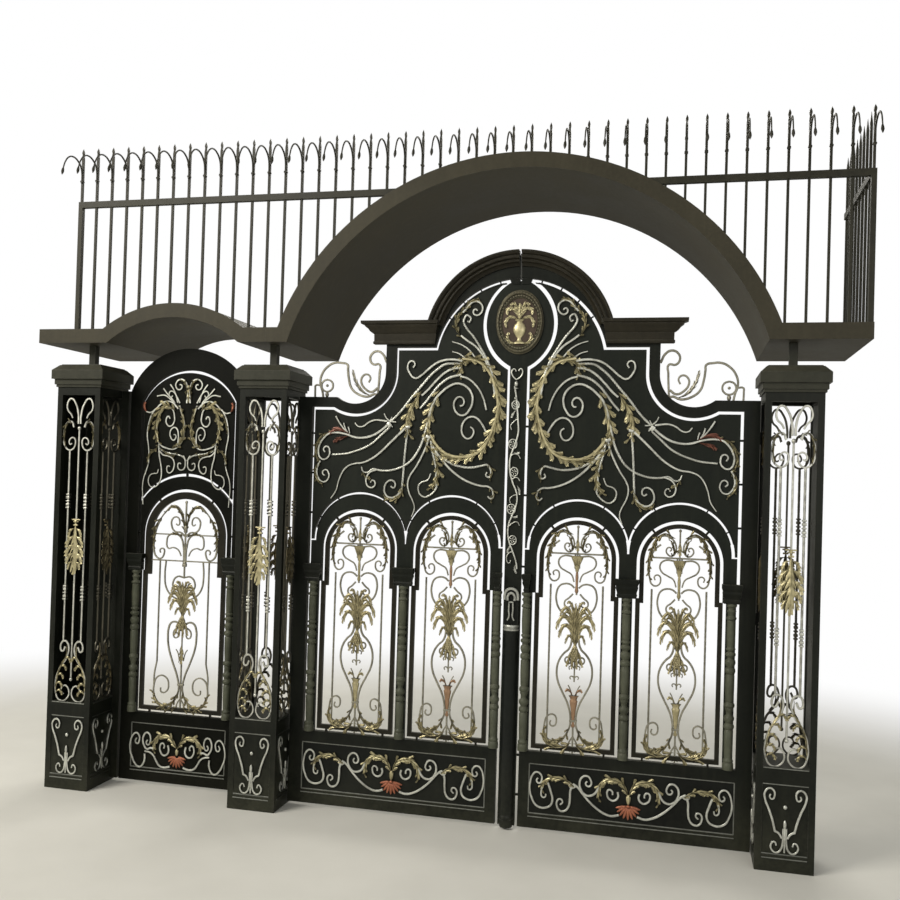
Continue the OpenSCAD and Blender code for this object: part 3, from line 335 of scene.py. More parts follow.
# Bars swept along smooth lines. A line is (points, half width at its start, at its end, depth, turns of twist).
def bars(lines, res=4):
    crv = bpy.data.curves.new("bars", "CURVE")
    crv.dimensions = "3D"
    crv.twist_mode = "Z_UP"
    crv.resolution_u = res
    crv.bevel_mode = "OBJECT"
    crv.bevel_object = square
    crv.use_fill_caps = True
    for pts, r0, r1, depth, twist in lines:
        sp = crv.splines.new("BEZIER")
        sp.bezier_points.add(len(pts) - 1)
        for i, p in enumerate(pts):
            t = i / (len(pts) - 1)
            b = sp.bezier_points[i]
            b.co = (p[0], p[1], depth if len(p) < 3 else p[2])
            b.handle_left_type = b.handle_right_type = "AUTO"
            b.radius = r0 + (r1 - r0) * t
            b.tilt = twist * 2 * math.pi * t
    obj = bpy.data.objects.new("bars", crv)
    scene.collection.objects.link(obj)
    bpy.context.view_layer.update()
    me = bpy.data.meshes.new_from_object(obj.evaluated_get(bpy.context.evaluated_depsgraph_get()))
    bpy.data.objects.remove(obj)
    bpy.data.curves.remove(crv)
    bm = bmesh.new()
    bm.from_mesh(me)
    bmesh.ops.remove_doubles(bm, verts=bm.verts[:], dist=mergeDist)
    return outward(bm, "bars")


# A straight rod of square bar, twisted along its length
def twisted(u, v0, v1, r, turns, depth, step=16):
    n = max(4, int(abs(v1 - v0) / step))
    return ([(u, v0 + (v1 - v0) * i / n) for i in range(n + 1)], r, r, depth, turns)


def bothSides(lines):
    return lines + [([(-p[0],) + tuple(p[1:]) for p in pts],) + tuple(rest) for pts, *rest in lines]


# Point and heading at t along a smooth line through the points
def along(pts, t):
    n = len(pts) - 1
    t = min(0.9999, max(0.0, t)) * n
    i = int(t)
    f = t - i
    p0, p1, p2, p3 = (Vector(pts[min(n, max(0, i + k))][:2]) for k in (-1, 0, 1, 2))
    bend, turn = 2 * p0 - 5 * p1 + 4 * p2 - p3, 3 * p1 - p0 - 3 * p2 + p3
    pos = 0.5 * ((2 * p1) + (p2 - p0) * f + bend * f * f + turn * f ** 3)
    head = 0.5 * ((p2 - p0) + 2 * bend * f + 3 * turn * f * f)
    return pos, head.normalized()


# The same line as a twisted rope of bar
def rope(pts, r0, r1, depth, step=12, pitch=54):
    length = sum((Vector(b) - Vector(a)).length for a, b in zip(pts, pts[1:]))
    n = int(length / step)
    return ([tuple(along(pts, i / n)[0]) for i in range(n + 1)], r0, r1, depth, length / pitch)


# Acanthus leaf: a lobed blade that follows its spine, fluted, its lobes swept forward and turned up
blade = {"rows": 4, "stagger": 0.35, "round": 0.75, "sweep": 1.15, "valley": 0.55, "rib": 0.3, "ribWidth": 0.14}


def acanthus(spine, left, right, lobes, cup, curl, depth, across=8, gap=0.22, thick=1.8):
    bm = bmesh.new()
    bmesh.ops.create_grid(bm, x_segments=lobes * blade["rows"], y_segments=across, size=1)
    for v in bm.verts:
        t, s = (v.co.x + 1) / 2, v.co.y
        a = abs(s)
        phase = (t * lobes + (blade["stagger"] if s > 0 else 0.0)) % 1.0
        lobe = max(0.0, math.sin(math.pi * phase)) ** blade["round"]
        body = min(1.0, 0.35 + t * 3.0) * min(1.0, (1 - t) * 2.4 + 0.05) ** 0.8
        uneven = 0.88 + 0.12 * math.sin(t * 23 + s * 2)
        width = (left if s > 0 else right) * body * uneven * (gap + (1 - gap) * lobe)
        pos, head = along(spine, t + a ** 1.5 * blade["sweep"] / lobes * lobe * min(1.0, (1 - t) * 4))
        side = Vector((-head.y, head.x))
        pos = pos + side * (width * s)
        valley = (1 - lobe) * (0.35 + 0.65 * a) * blade["valley"]
        rib = blade["rib"] * math.exp(-(s / blade["ribWidth"]) ** 2)
        high = depth + cup * body * (1 - 0.8 * a * a - valley + rib) + curl * (t ** 3 + 0.7 * a ** 3 * lobe)
        v.co = (pos.x, pos.y, high)
    bmesh.ops.solidify(bm, geom=bm.faces[:], thickness=thick)
    return asMesh(bm, "leaf")


# Foliage: small leaves set by turns along a line, each curling out and back
leafletLine = ((-0.6, 0), (0.1, 0.2), (0.72, 0.48), (1.15, 0.78), (1.3, 1.05))


def foliage(spine, count, reach, depth, sides, start=0.02, end=0.97):
    made = []
    for i in range(count):
        t = start + (end - start) * i / (count - 1)
        pos, head = along(spine, t)
        side = Vector((-head.y, head.x)) * sides[i % len(sides)]
        r = reach * (0.62 + 0.38 * math.sin(math.pi * min(1.0, 0.15 + t))) * (0.86 + 0.14 * math.sin(i * 2.4))
        line = [pos + (head * a + side * b) * r for a, b in leafletLine]
        made.append(acanthus(line, r * 0.4, r * 0.36, 3, 7, 6, depth + i % 3, 4, 0.5))
    made.append(acanthus(spine, reach * 0.42, reach * 0.42, max(3, count // 2), 8, 4, depth - 1, 6, 0.45))
    return made


# Balls and petals as rounded lumps, collars as blocks with soft edges: (u, v, w, half u, half v, half w, turn)
def rowMatrix(row):
    u, v, w, ru, rv, rw, turn = row
    return Matrix.Translation((u, v, w)) @ turnedTo(turn) @ Matrix.Diagonal((ru, rv, rw, 1))


def lumps(rows, detail=2):
    bm = bmesh.new()
    for row in rows:
        bmesh.ops.create_icosphere(bm, subdivisions=detail, radius=1.0, matrix=rowMatrix(row))
    return asMesh(bm, "lumps")


def collars(rows):
    bm = bmesh.new()
    for row in rows:
        new = bmesh.ops.create_cube(bm, size=2.0, matrix=rowMatrix(row))["verts"]
        edges = list({e for q in new for e in q.link_edges})
        bmesh.ops.bevel(bm, geom=edges, offset=min(row[3:6]) * 0.45, offset_type="OFFSET", segments=2, profile=0.5,
                        affect="EDGES", material=-1)
    return asMesh(bm, "collars")


# Turned forms, stacked blocks and swept mouldings. What is cut has the slivers at its rim merged and is closed again.
def cutFlat(bm, place, normal):
    bmesh.ops.bisect_plane(bm, geom=bm.verts[:] + bm.edges[:] + bm.faces[:], plane_co=place, plane_no=normal,
                           clear_outer=True)
    bmesh.ops.remove_doubles(bm, verts=bm.verts[:], dist=10 * mergeDist)
    bmesh.ops.holes_fill(bm, edges=[e for e in bm.edges if e.is_boundary])


# Lathe work about the v axis, rows of (radius, height), cut flat at its back where it stands on a face
def turned(rows, steps, back=None):
    bm = bmesh.new()
    vs = [bm.verts.new((r, v, 0)) for r, v in rows]
    es = [bm.edges.new(two) for two in zip(vs, vs[1:])]
    bmesh.ops.spin(bm, geom=vs + es, cent=(0, 0, 0), axis=(0, 1, 0), angle=2 * math.pi, steps=steps, use_merge=True)
    bmesh.ops.remove_doubles(bm, verts=bm.verts[:], dist=mergeDist)
    if back is not None:
        cutFlat(bm, (0, 0, back), (0, 0, -1))
    return outward(bm, "turned")


# A moulded block, rows of (v, u0, u1, w0, w1) from its foot up
def stack(rows):
    bm = bmesh.new()
    bmesh.ops.create_grid(bm, x_segments=1, y_segments=1, size=0.5, matrix=Matrix.Rotation(math.pi / 2, 4, "X"))
    top, verts, mid = list(bm.faces)[0], list(bm.verts), (0, 0)
    for i, (v, u0, u1, w0, w1) in enumerate(rows):
        if i:
            new = bmesh.ops.extrude_face_region(bm, geom=[top])["geom"]
            if i > 1:
                bmesh.ops.delete(bm, geom=[top], context="FACES_ONLY")
            verts = [q for q in new if isinstance(q, bmesh.types.BMVert)]
            top = [q for q in new if isinstance(q, bmesh.types.BMFace)][0]
        for q in verts:
            q.co = (u1 if q.co.x > mid[0] else u0, v, w1 if q.co.z > mid[1] else w0)
        mid = ((u0 + u1) / 2, (w0 + w1) / 2)
    return outward(bm, "stack")


# A moulding bent round a centre, rows of (radius, w) once round its outline, angles in degrees
def bent(rows, u, v, a0, a1, steps):
    bm = bmesh.new()
    c, s = math.cos(math.radians(a0)), math.sin(math.radians(a0))
    bm.faces.new([bm.verts.new((u + r * c, v + r * s, w)) for r, w in rows])
    bmesh.ops.spin(bm, geom=bm.verts[:] + bm.edges[:] + bm.faces[:], cent=(u, v, 0), axis=(0, 0, 1),
                   angle=math.radians(a1 - a0), steps=steps)
    bmesh.ops.remove_doubles(bm, verts=bm.verts[:], dist=mergeDist)
    return outward(bm, "bent")


def moved(me, u):
    copy = me.copy()
    copy.transform(Matrix.Translation((u, 0, 0)))
    return copy


def placed(me, place, flatten=1.0):
    me.transform(Matrix.Translation(place) @ Matrix.Diagonal((1, 1, flatten, 1)))
    return me


def flip(me):
    copy = me.copy()
    copy.transform(Matrix.Diagonal((-1, 1, 1, 1)))
    copy.flip_normals()
    return copy


def pair(meshes):
    return meshes + [flip(m) for m in meshes]


# One piece from many meshes, each hung by the same matrices, sharp where its faces meet at more than the angle
def gather(name, body, slotName, meshes, places, replaced=(), angle=38):
    bm = bmesh.new()
    for me in meshes:
        for m in places:
            first = len(bm.verts)
            firstFace = len(bm.faces)
            bm.from_mesh(me)
            bm.verts.ensure_lookup_table()
            bm.faces.ensure_lookup_table()
            bmesh.ops.transform(bm, matrix=m, verts=bm.verts[first:])
            if m.determinant() < 0:
                bmesh.ops.reverse_faces(bm, faces=bm.faces[firstFace:])
    for e in bm.edges:
        e.smooth = e.calc_face_angle(math.pi) < math.radians(angle)
    for f in bm.faces:
        f.smooth = True
    me = asMesh(bm, name)
    me.materials.append(mats[slotName])
    obj = bpy.data.objects.new(name, me)
    scene.collection.objects.link(obj)
    if replaced:
        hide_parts(*replaced)
    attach(obj, body)


# Middle lines and the faces that ornament lies on, in mm
driveX, walkX, leftX, rightX = 1510, -625, -1250, 3020
leafY, plateY, windowY = 35, 40, 46
walkLeafY, walkPlateY, walkWindowY = 100, 105, 111
postFace, boxFace = 136, 146
leafSides = {"left_leaf": -1, "right_leaf": 1}
leafPlaces = {leaf: [hang(side, driveX, plateY)] for leaf, side in leafSides.items()}
framePlaces = {leaf: [hang(side, driveX, leafY)] for leaf, side in leafSides.items()}

# Upper plate of a leaf, from the collar beside the oval: big ring, sprays to the shoulder, stems to the sill
ring = [(515, 2268), (485, 2218), (438, 2172), (388, 2148), (325, 2142), (267, 2150), (208, 2185), (166, 2250),
        (135, 2338), (117, 2413), (118, 2482), (140, 2570), (175, 2645), (240, 2704), (335, 2722)]
plateSilver = [
    ([(530, 2370), (496, 2475), (458, 2520), (415, 2555), (358, 2575), (302, 2553), (272, 2512), (267, 2470),
      (284, 2420), (318, 2388), (354, 2396), (378, 2438), (370, 2480), (344, 2496), (320, 2478), (324, 2448),
      (342, 2442)], 7, 5, 6, 0),
    ([(183, 2420), (205, 2495), (245, 2560), (300, 2605), (345, 2618)], 5, 6, 5, 0),
    ([(180, 2290), (205, 2335), (234, 2368), (268, 2380), (307, 2362), (328, 2312), (316, 2266), (284, 2250),
      (258, 2275), (258, 2305), (276, 2320)], 6, 4.5, 5, 0),
    rope([(135, 2510), (155, 2630), (188, 2715), (228, 2785), (271, 2850), (314, 2900), (334, 2942), (318, 2978),
      (292, 2962), (300, 2938), (312, 2944)], 7, 4.5, 6),
    ([(178, 2670), (216, 2745), (262, 2797), (307, 2827), (348, 2858)], 6, 6, 5, 0),
    ([(340, 2995), (315, 3022), (277, 3058), (238, 3050), (222, 3016), (238, 2984), (262, 2978), (278, 2996),
      (266, 3014), (252, 3004)], 6, 4.5, 6, 0),
    ([(257, 2727), (296, 2773), (353, 2808), (400, 2822)], 5, 3, 5, 0),
    ([(315, 2721), (354, 2750), (398, 2764)], 5, 3, 5, 0),
    ([(335, 2708), (384, 2716), (441, 2713), (487, 2698), (539, 2660), (585, 2620), (620, 2605), (654, 2634),
      (668, 2680), (648, 2708), (624, 2692), (634, 2668)], 7, 4.5, 7, 0),
    rope([(340, 2690), (430, 2690), (482, 2660), (529, 2618), (587, 2550), (645, 2482), (691, 2420), (732, 2375),
      (775, 2335)], 7, 6, 6),
    ([(730, 2342), (764, 2346), (792, 2366), (806, 2392)], 4, 3, 8, 0),
    ([(756, 2372), (768, 2340), (752, 2310)], 3, 4, 8, 0),
    ([(785, 2345), (821, 2350), (860, 2352), (900, 2339), (938, 2313), (970, 2313), (990, 2334)], 6, 3.5, 5, 0),
    ([(780, 2325), (828, 2286), (873, 2260), (929, 2245), (984, 2246), (1045, 2264), (1103, 2272), (1157, 2264),
      (1185, 2240), (1208, 2205), (1218, 2150), (1195, 2110), (1160, 2118), (1145, 2155), (1163, 2188),
      (1186, 2172), (1176, 2152)], 7, 4.5, 6, 0),
    rope([(768, 2312), (818, 2266), (874, 2214), (930, 2182), (986, 2161), (1041, 2146), (1130, 2138)], 6, 5, 5),
    ([(340, 2668), (391, 2662), (443, 2635), (502, 2578), (542, 2533), (577, 2502)], 7, 6, 5, 0),
    rope([(340, 2628), (415, 2606), (474, 2561), (520, 2504), (550, 2464), (585, 2425)], 7, 6, 5),
    ([(527, 2250), (540, 2201), (564, 2145), (599, 2078), (635, 2022), (648, 1977), (637, 1920), (614, 1874),
      (602, 1833), (618, 1780)], 6, 3, 5, 0),
    rope([(536, 2344), (555, 2259), (580, 2191), (621, 2124), (667, 2085), (712, 2064), (768, 2050), (823, 2050),
      (867, 2057), (901, 2036), (928, 2040), (940, 2068)], 7, 4, 6),
    ([(842, 2054), (880, 2040), (902, 2014), (908, 1980), (888, 1948), (860, 1950), (850, 1974), (866, 1990),
      (880, 1976)], 5, 4, 8, 0),
    rope([(658, 2306), (671, 2148), (681, 1966), (686, 1935)], 6, 6, 5),
    ([(690, 1930), (712, 1902), (748, 1888), (783, 1907), (790, 1953), (770, 1986), (742, 1992), (724, 1970),
      (734, 1948), (752, 1956)], 6, 4.5, 6, 0),
    ([(672, 2306), (718, 2262), (775, 2206), (832, 2151), (888, 2113), (933, 2094), (988, 2086), (1032, 2067),
      (1060, 2034), (1083, 1979), (1097, 1923), (1130, 1872)], 7, 3, 6, 0),
    rope([(516, 2258), (506, 2189), (489, 2120), (474, 2060), (478, 2000), (470, 1960), (496, 1921), (537, 1899),
      (572, 1916), (582, 1958), (563, 1986), (525, 2001), (508, 2040)], 6, 3.5, 5),
    ([(500, 2200), (467, 2154), (418, 2096), (351, 2037), (272, 1994), (203, 1975), (150, 1968), (128, 1935),
      (140, 1902), (160, 1915)], 7, 4.5, 6, 0),
    rope([(490, 2160), (400, 2110), (344, 2088), (269, 2080), (205, 2092), (168, 2098), (146, 2065), (152, 2028),
      (174, 2036), (168, 2056)], 7, 4.5, 5),
    ([(1205, 2099), (1224, 2050), (1213, 1994), (1181, 1971), (1152, 1988), (1148, 2026), (1170, 2046),
      (1188, 2026), (1174, 2010)], 5, 4, 6, 0),
]
plateGold = [(ring, 8, 7, 7, 0)]
ringRound = [(338, 2730), (255, 2722), (180, 2668), (134, 2580), (112, 2490), (108, 2410), (124, 2335), (160, 2255),
             (210, 2185), (285, 2146), (370, 2134), (440, 2158), (500, 2225), (524, 2290)]
sprigs = [(ringRound, 40, 44, (-1, 1, -1)),
          ([(470, 2530), (505, 2450), (528, 2370), (538, 2300), (530, 2250)], 11, 42, (1, -1, 1)),
          ([(582, 2520), (628, 2450), (655, 2380), (662, 2315), (650, 2265)], 10, 44, (1, -1)),
          ([(345, 2850), (376, 2890), (382, 2940), (362, 2985), (330, 3005)], 8, 24, (-1, 1)),
          ([(338, 2998), (318, 3030), (284, 3064), (240, 3062)], 6, 24, (-1, 1)),
          ([(492, 2130), (470, 2085), (462, 2030), (480, 1980), (500, 1950)], 9, 32, (1, -1)),
          ([(684, 1985), (680, 1935), (700, 1895), (745, 1872), (790, 1890)], 8, 26, (-1, 1)),
          ([(1130, 2275), (1190, 2262), (1228, 2205), (1236, 2140), (1205, 2085)], 9, 22, (1, -1)),
          ([(1210, 2105), (1236, 2055), (1228, 1990), (1188, 1955)], 7, 18, (1, -1)),
          ([(560, 2240), (520, 2190), (470, 2150), (430, 2120), (380, 2108)], 8, 30, (-1, 1)),
          ([(930, 2040), (915, 2010), (880, 1995)], 3, 20, (1, -1)),
          ([(150, 1968), (124, 1935), (140, 1895)], 4, 20, (1, -1)),
          ([(160, 2105), (138, 2065), (152, 2020)], 4, 18, (1, -1)),
          ([(236, 2716), (300, 2705), (350, 2690), (392, 2662)], 8, 30, (-1, 1)),
          ([(330, 2700), (345, 2660), (350, 2620)], 4, 26, (1, -1))]
plateLeaves = [leaf for line, count, reach, turns in sprigs for leaf in foliage(line, count, reach, 5, turns)]
plateRed = [
    acanthus([(1020, 2262), (1060, 2285), (1110, 2290), (1150, 2262)], 22, 10, 3, 8, 4, 7),
    acanthus([(1020, 2255), (1060, 2246), (1100, 2236), (1125, 2215)], 10, 18, 3, 8, 4, 7),
]
stamens = [([(1035, 2275), (1050, 2300), (1060, 2332)], 3.5, 4.5, 9, 0),
           ([(1040, 2275), (1078, 2320), (1112, 2372)], 3.5, 5, 9, 0),
           ([(1020, 2268), (1024, 2288), (1030, 2308)], 3, 4, 9, 0)]
plateCollars = [(772, 2326, 9, 12, 16, 8, -38), (655, 2312, 9, 14, 8, 8, -10),
                (528, 2256, 9, 16, 9, 9, 20)]
plateSpray = [bars(plateSilver + stamens), collars(plateCollars)]
plateSprayLeaves = [bars(plateGold)] + plateLeaves
for leaf, place in leafPlaces.items():
    gather(leaf + "_spray", leaf, "silver_scrolls", plateSpray, place, [leaf + "_scrolls"])
    gather(leaf + "_spray_leaves", leaf, "gold_ironwork", plateSprayLeaves, place)
    gather(leaf + "_tulip", leaf, "dull_red", plateRed, place)
print("upper plates done")

# Bottom panels: a shell and bud in the middle, leaves and volutes to both sides
panelSilver = [
    ([(60, 276), (57, 248), (76, 226), (100, 228), (118, 254), (110, 283), (90, 275), (88, 256)], 6, 4.5, 6, 0),
    ([(166, 300), (184, 257), (211, 239), (242, 242), (265, 268), (274, 305), (261, 338), (232, 348), (212, 328),
      (210, 299), (227, 290), (240, 305), (232, 318)], 6.5, 4.5, 6, 0),
    ([(50, 147), (90, 137), (134, 147), (183, 176), (224, 211), (258, 248), (286, 280), (312, 295)], 6.5, 6, 5, 0),
    ([(486, 260), (492, 228), (486, 206), (470, 204), (464, 224)], 5, 4, 6, 0),
    ([(318, 280), (326, 251), (327, 203), (337, 156), (360, 136), (384, 138), (400, 163), (398, 193), (380, 203),
      (368, 186), (382, 170)], 6.5, 4.5, 5, 0),
    ([(455, 290), (436, 238), (426, 195), (437, 161), (462, 146), (490, 143), (524, 158), (546, 196), (558, 239),
      (556, 286), (544, 324), (522, 343), (496, 331), (490, 303), (505, 281), (520, 295), (512, 310)], 6.5, 4.5, 5,
      0),
    ([(296, 282), (318, 272), (332, 286), (322, 300)], 5, 4, 7, 0),
]
goldArc = [(2, 262), (22, 312), (54, 336), (98, 344), (138, 328), (164, 288), (168, 225)]
panelGold = foliage(goldArc, 11, 34, 6, (-1, -1, 1))
silverArc = [(300, 280), (332, 304), (372, 320), (414, 324), (452, 312), (484, 282), (490, 245)]
panelLeaf = foliage(silverArc, 10, 28, 6, (-1, -1, 1))


def shell(u, v, r, spread=75, lobes=9):
    rows = []
    for i in range(lobes):
        a = -90 + spread * (2 * i / (lobes - 1) - 1)
        t = math.radians(a)
        reach = r * (1 - 0.12 * abs(2 * i / (lobes - 1) - 1))
        high, thin = reach * 0.46, reach * 0.115
        rows.append((u + math.cos(t) * reach * 0.6, v + math.sin(t) * reach * 0.6, 7, high, thin, 7, a))
    return lumps(rows)


def bud(u, v0, v1, r):
    rows = [(u, (v0 + v1) / 2, 9, r, (v1 - v0) / 2, 9, 0),
            (u - r * 0.6, (v0 + v1) / 2 - 4, 7, r * 0.6, (v1 - v0) * 0.4, 7, 8),
            (u + r * 0.6, (v0 + v1) / 2 - 4, 7, r * 0.6, (v1 - v0) * 0.4, 7, -8)]
    return lumps(rows)


beads = lumps([(0, 200, 10, 12, 10, 9, 0), (-24, 196, 8, 14, 9, 7, 20), (24, 196, 8, 14, 9, 7, -20),
               (-46, 190, 7, 12, 8, 6, 14), (46, 190, 7, 12, 8, 6, -14)])
# A panel's middle is this far from the meeting line. Both panels are drawn the same way round.
panelMiddle = 694
panelPlaces = {leaf: [hang(1, driveX + side * panelMiddle, plateY)] for leaf, side in leafSides.items()}
for leaf, place in panelPlaces.items():
    gather(leaf + "_panel_scrolls", leaf, "silver_scrolls", [bars(bothSides(panelSilver))], place)
    gather(leaf + "_panel_leaves", leaf, "gold_ironwork", pair(panelGold + panelLeaf) + [bud(0, 208, 268, 10)], place)
    gather(leaf + "_panel_shell", leaf, "red_accents", [shell(0, 205, 78), beads], place)
print("bottom panels done")

# Ironwork of an arched window, drawn for its right half about the window's middle
def windowIron(depth):
    half = [
        ([(106, 1722), (80, 1726), (48, 1713), (25, 1682), (22, 1642), (42, 1614), (66, 1622), (74, 1648), (58, 1662),
          (46, 1650), (54, 1640)], 5.4, 4, depth, 0),
        ([(104, 1676), (136, 1648), (158, 1602), (165, 1552), (163, 1492), (144, 1446), (116, 1446), (101, 1476),
          (114, 1503), (136, 1494), (132, 1474)], 5.4, 4, depth, 0),
        ([(4, 1576), (40, 1588), (84, 1586), (106, 1562), (98, 1524), (62, 1500), (32, 1482), (16, 1440)], 5.4, 4,
         depth, 0),
        ([(12, 1600), (12, 1520)], 4.8, 4.8, depth, 0),
        ([(14, 1224), (60, 1250), (96, 1282), (114, 1328), (114, 1376), (98, 1414), (70, 1428), (36, 1425),
          (12, 1406)],
         5.4, 5, depth, 0),
        ([(20, 1372), (42, 1348), (66, 1326), (62, 1300), (40, 1296), (29, 1314), (42, 1328), (50, 1318)], 5, 3.8,
         depth, 0),
        ([(24, 1150), (20, 1110), (34, 1058), (64, 1028), (88, 990), (101, 935), (93, 868), (66, 808), (30, 733),
          (15, 647), (24, 597), (64, 540), (118, 522), (160, 556), (163, 620), (146, 666), (110, 674), (95, 640),
          (110, 610), (132, 618), (128, 640)], 6, 4.2, depth, 0),
        ([(10, 1030), (24, 1012), (50, 1006), (54, 984), (36, 972), (22, 984), (30, 998)], 5, 3.8, depth, 0),
        ([(12, 790), (22, 828), (34, 850)], 3.5, 3, depth, 0),
        ([(0, 890), (12, 902), (24, 896), (20, 884)], 3.6, 3, depth + 2, 0),
        ([(0, 944), (14, 960), (30, 954), (28, 938)], 3.6, 3, depth + 2, 0), twisted(149, 1424, 672, 5, 26, depth),
        ([(149, 672), (149, 480)], 4.6, 4.6, depth - 1, 0),
        ([(0, 560), (26, 500), (12, 470)], 4.2, 4.2, depth, 0),
    ]
    mid = [([(0, 1750), (0, 1366)], 4.8, 4.8, depth, 0),
           ([(-172, 1602), (0, 1602), (172, 1602)], 4.8, 4.8, depth + 1, 0),
           ([(0, 1010), (0, 870)], 4.2, 4.2, depth, 0), ([(0, 790), (0, 462)], 4.8, 4.8, depth - 1, 0)]
    collarRows = [(0, 1578, depth, 30, 9, 8, 0), (0, 1524, depth, 17, 7, 8, 0), (0, 648, depth, 22, 6, 8, 0),
                  (0, 1640, depth, 9, 7, 8, 0), (0, 1000, depth, 12, 7, 8, 0)]
    return [bars(bothSides(half) + mid), collars(collarRows), lumps([(0, 1756, depth, 8, 10, 7, 0)])]


# A palm: drooping fronds over a bulb with a skirt of leaves
def palm(v, tall, wide, depth):
    rows = [([(3, 0), (7, 0.4), (24, 0.72), (50, 0.88), (74, 0.84), (88, 0.7)], 14, 16, 8),
            ([(4, 0), (9, 0.34), (32, 0.6), (68, 0.7), (98, 0.58), (110, 0.38)], 15, 18, 6),
            ([(4, 0), (10, 0.27), (32, 0.45), (62, 0.5), (86, 0.38), (94, 0.2)], 14, 17, 3),
            ([(3, 0), (10, 0.16), (28, 0.27), (46, 0.24), (58, 0.08)], 10, 12, 2),
            ([(1, 0), (4, 0.5), (14, 0.84), (32, 1.0), (52, 0.97)], 10, 12, 10),
            ([(3, 0.2), (12, 0.55), (34, 0.76), (60, 0.78), (74, 0.66)], 9, 11, 10)]
    half = [acanthus([(u * wide, v + h * tall) for u, h in pts], a, b, 6, 6, 5, depth + d, 6, 0.4)
            for pts, a, b, d in rows]
    bulb = turned([(0, -82), (9, -78), (20, -58), (25, -36), (21, -12), (13, 6), (8, 22), (0, 30)], 16)
    placed(bulb, (0, v, depth + 8), 0.6)
    scales = [(k * 11 + (j % 2) * 5.5 - 5.5, v - 64 + j * 13, depth + 25 - abs(k) * 4 - abs(j - 2.5) * 1.6,
               6, 7.5, 4, 0) for j in range(6) for k in (-1, 0, 1)]
    skirt = [acanthus([(8, v + 4), (24, v - 30), (33, v - 70), (46, v - 106)], 12, 13, 4, 5, 5, depth + 12, 6, 0.4),
             acanthus([(3, v + 6), (10, v - 50), (14, v - 118)], 10, 11, 4, 5, 4, depth + 16, 6, 0.4)]
    middle = acanthus([(0, v), (0, v + 0.5 * tall), (0, v + tall)], 12, 12, 6, 6, 6, depth + 11, 8, 0.3)
    return pair(half + skirt) + [middle, bulb, lumps(scales, 1)]


def windowLeaves(depth):
    arch = [(30, 1716), (84, 1738), (126, 1708), (150, 1656), (166, 1600), (172, 1540), (166, 1488)]
    foot = [(18, 514), (58, 494), (110, 494), (154, 520), (170, 580)]
    half = (foliage(arch, 15, 26, depth + 3, (-1, 1, -1)) + foliage(foot, 9, 40, depth + 3, (1, -1, 1))
            + foliage([(26, 600), (44, 556), (84, 534), (120, 528)], 6, 22, depth + 5, (1, -1))
            + foliage([(40, 1610), (30, 1650), (50, 1700)], 5, 18, depth + 4, (-1, 1))
            + [acanthus([(28, 588), (62, 536), (112, 510), (160, 538), (170, 590)], 8, 14, 8, 6, 4, depth + 2, 6,
                        0.5)])
    basket = turned([(0, 1500), (9, 1500), (12, 1516), (20, 1546), (33, 1576), (36, 1590), (0, 1590)], 14)
    placed(basket, (0, 0, depth + 3), 0.5)
    ribs = [(k * 9.5, 1558, depth + 18 - abs(k) * 3, 3, 28, 3, -k * 9) for k in (-2, -1, 0, 1, 2)]
    mid = [acanthus([(0, 1700), (0, 1660), (0, 1618)], 16, 16, 3, 5, 4, depth + 3), basket, lumps(ribs, 1)]
    return pair(half) + mid + palm(1062, 262, 1.0, depth)


# The fluted vase low in each window, and the drop under the crossing
def windowVase(depth):
    vase = turned([(0, 612), (9, 612), (11, 622), (7, 634), (9, 660), (15, 712), (21, 748), (23, 762), (18, 768),
                   (21, 780), (30, 792), (0, 792)], 16)
    placed(vase, (0, 0, depth + 2), 0.5)
    drop = turned([(0, 1372), (6, 1376), (11, 1388), (9, 1402), (7, 1420), (9, 1470), (6, 1500), (0, 1502)], 12)
    placed(drop, (0, 0, depth + 1), 0.7)
    crest = [acanthus([(4, 786), (16, 812), (36, 826), (48, 812)], 9, 10, 3, 5, 4, depth + 4, 6, 0.4)]
    return [vase, drop] + pair(crest)


windowPlaces, windowDepth = (370.75, 940.25), -6
windowPieces = [made(windowDepth) for made in (windowIron, windowLeaves, windowVase)]
for leaf, side in leafSides.items():
    spots = [hang(side, driveX + side * c, windowY) for c in windowPlaces]
    gather(leaf + "_window_bars", leaf, "window_ironwork", windowPieces[0], spots, [leaf + "_grilles"])
    gather(leaf + "_window_leaves", leaf, "olive_gold", windowPieces[1], spots)
    gather(leaf + "_window_vases", leaf, "copper_ironwork", windowPieces[2], spots[:1])
    gather(leaf + "_window_urns", leaf, "olive_gold", windowPieces[2], spots[1:])
print("windows done")

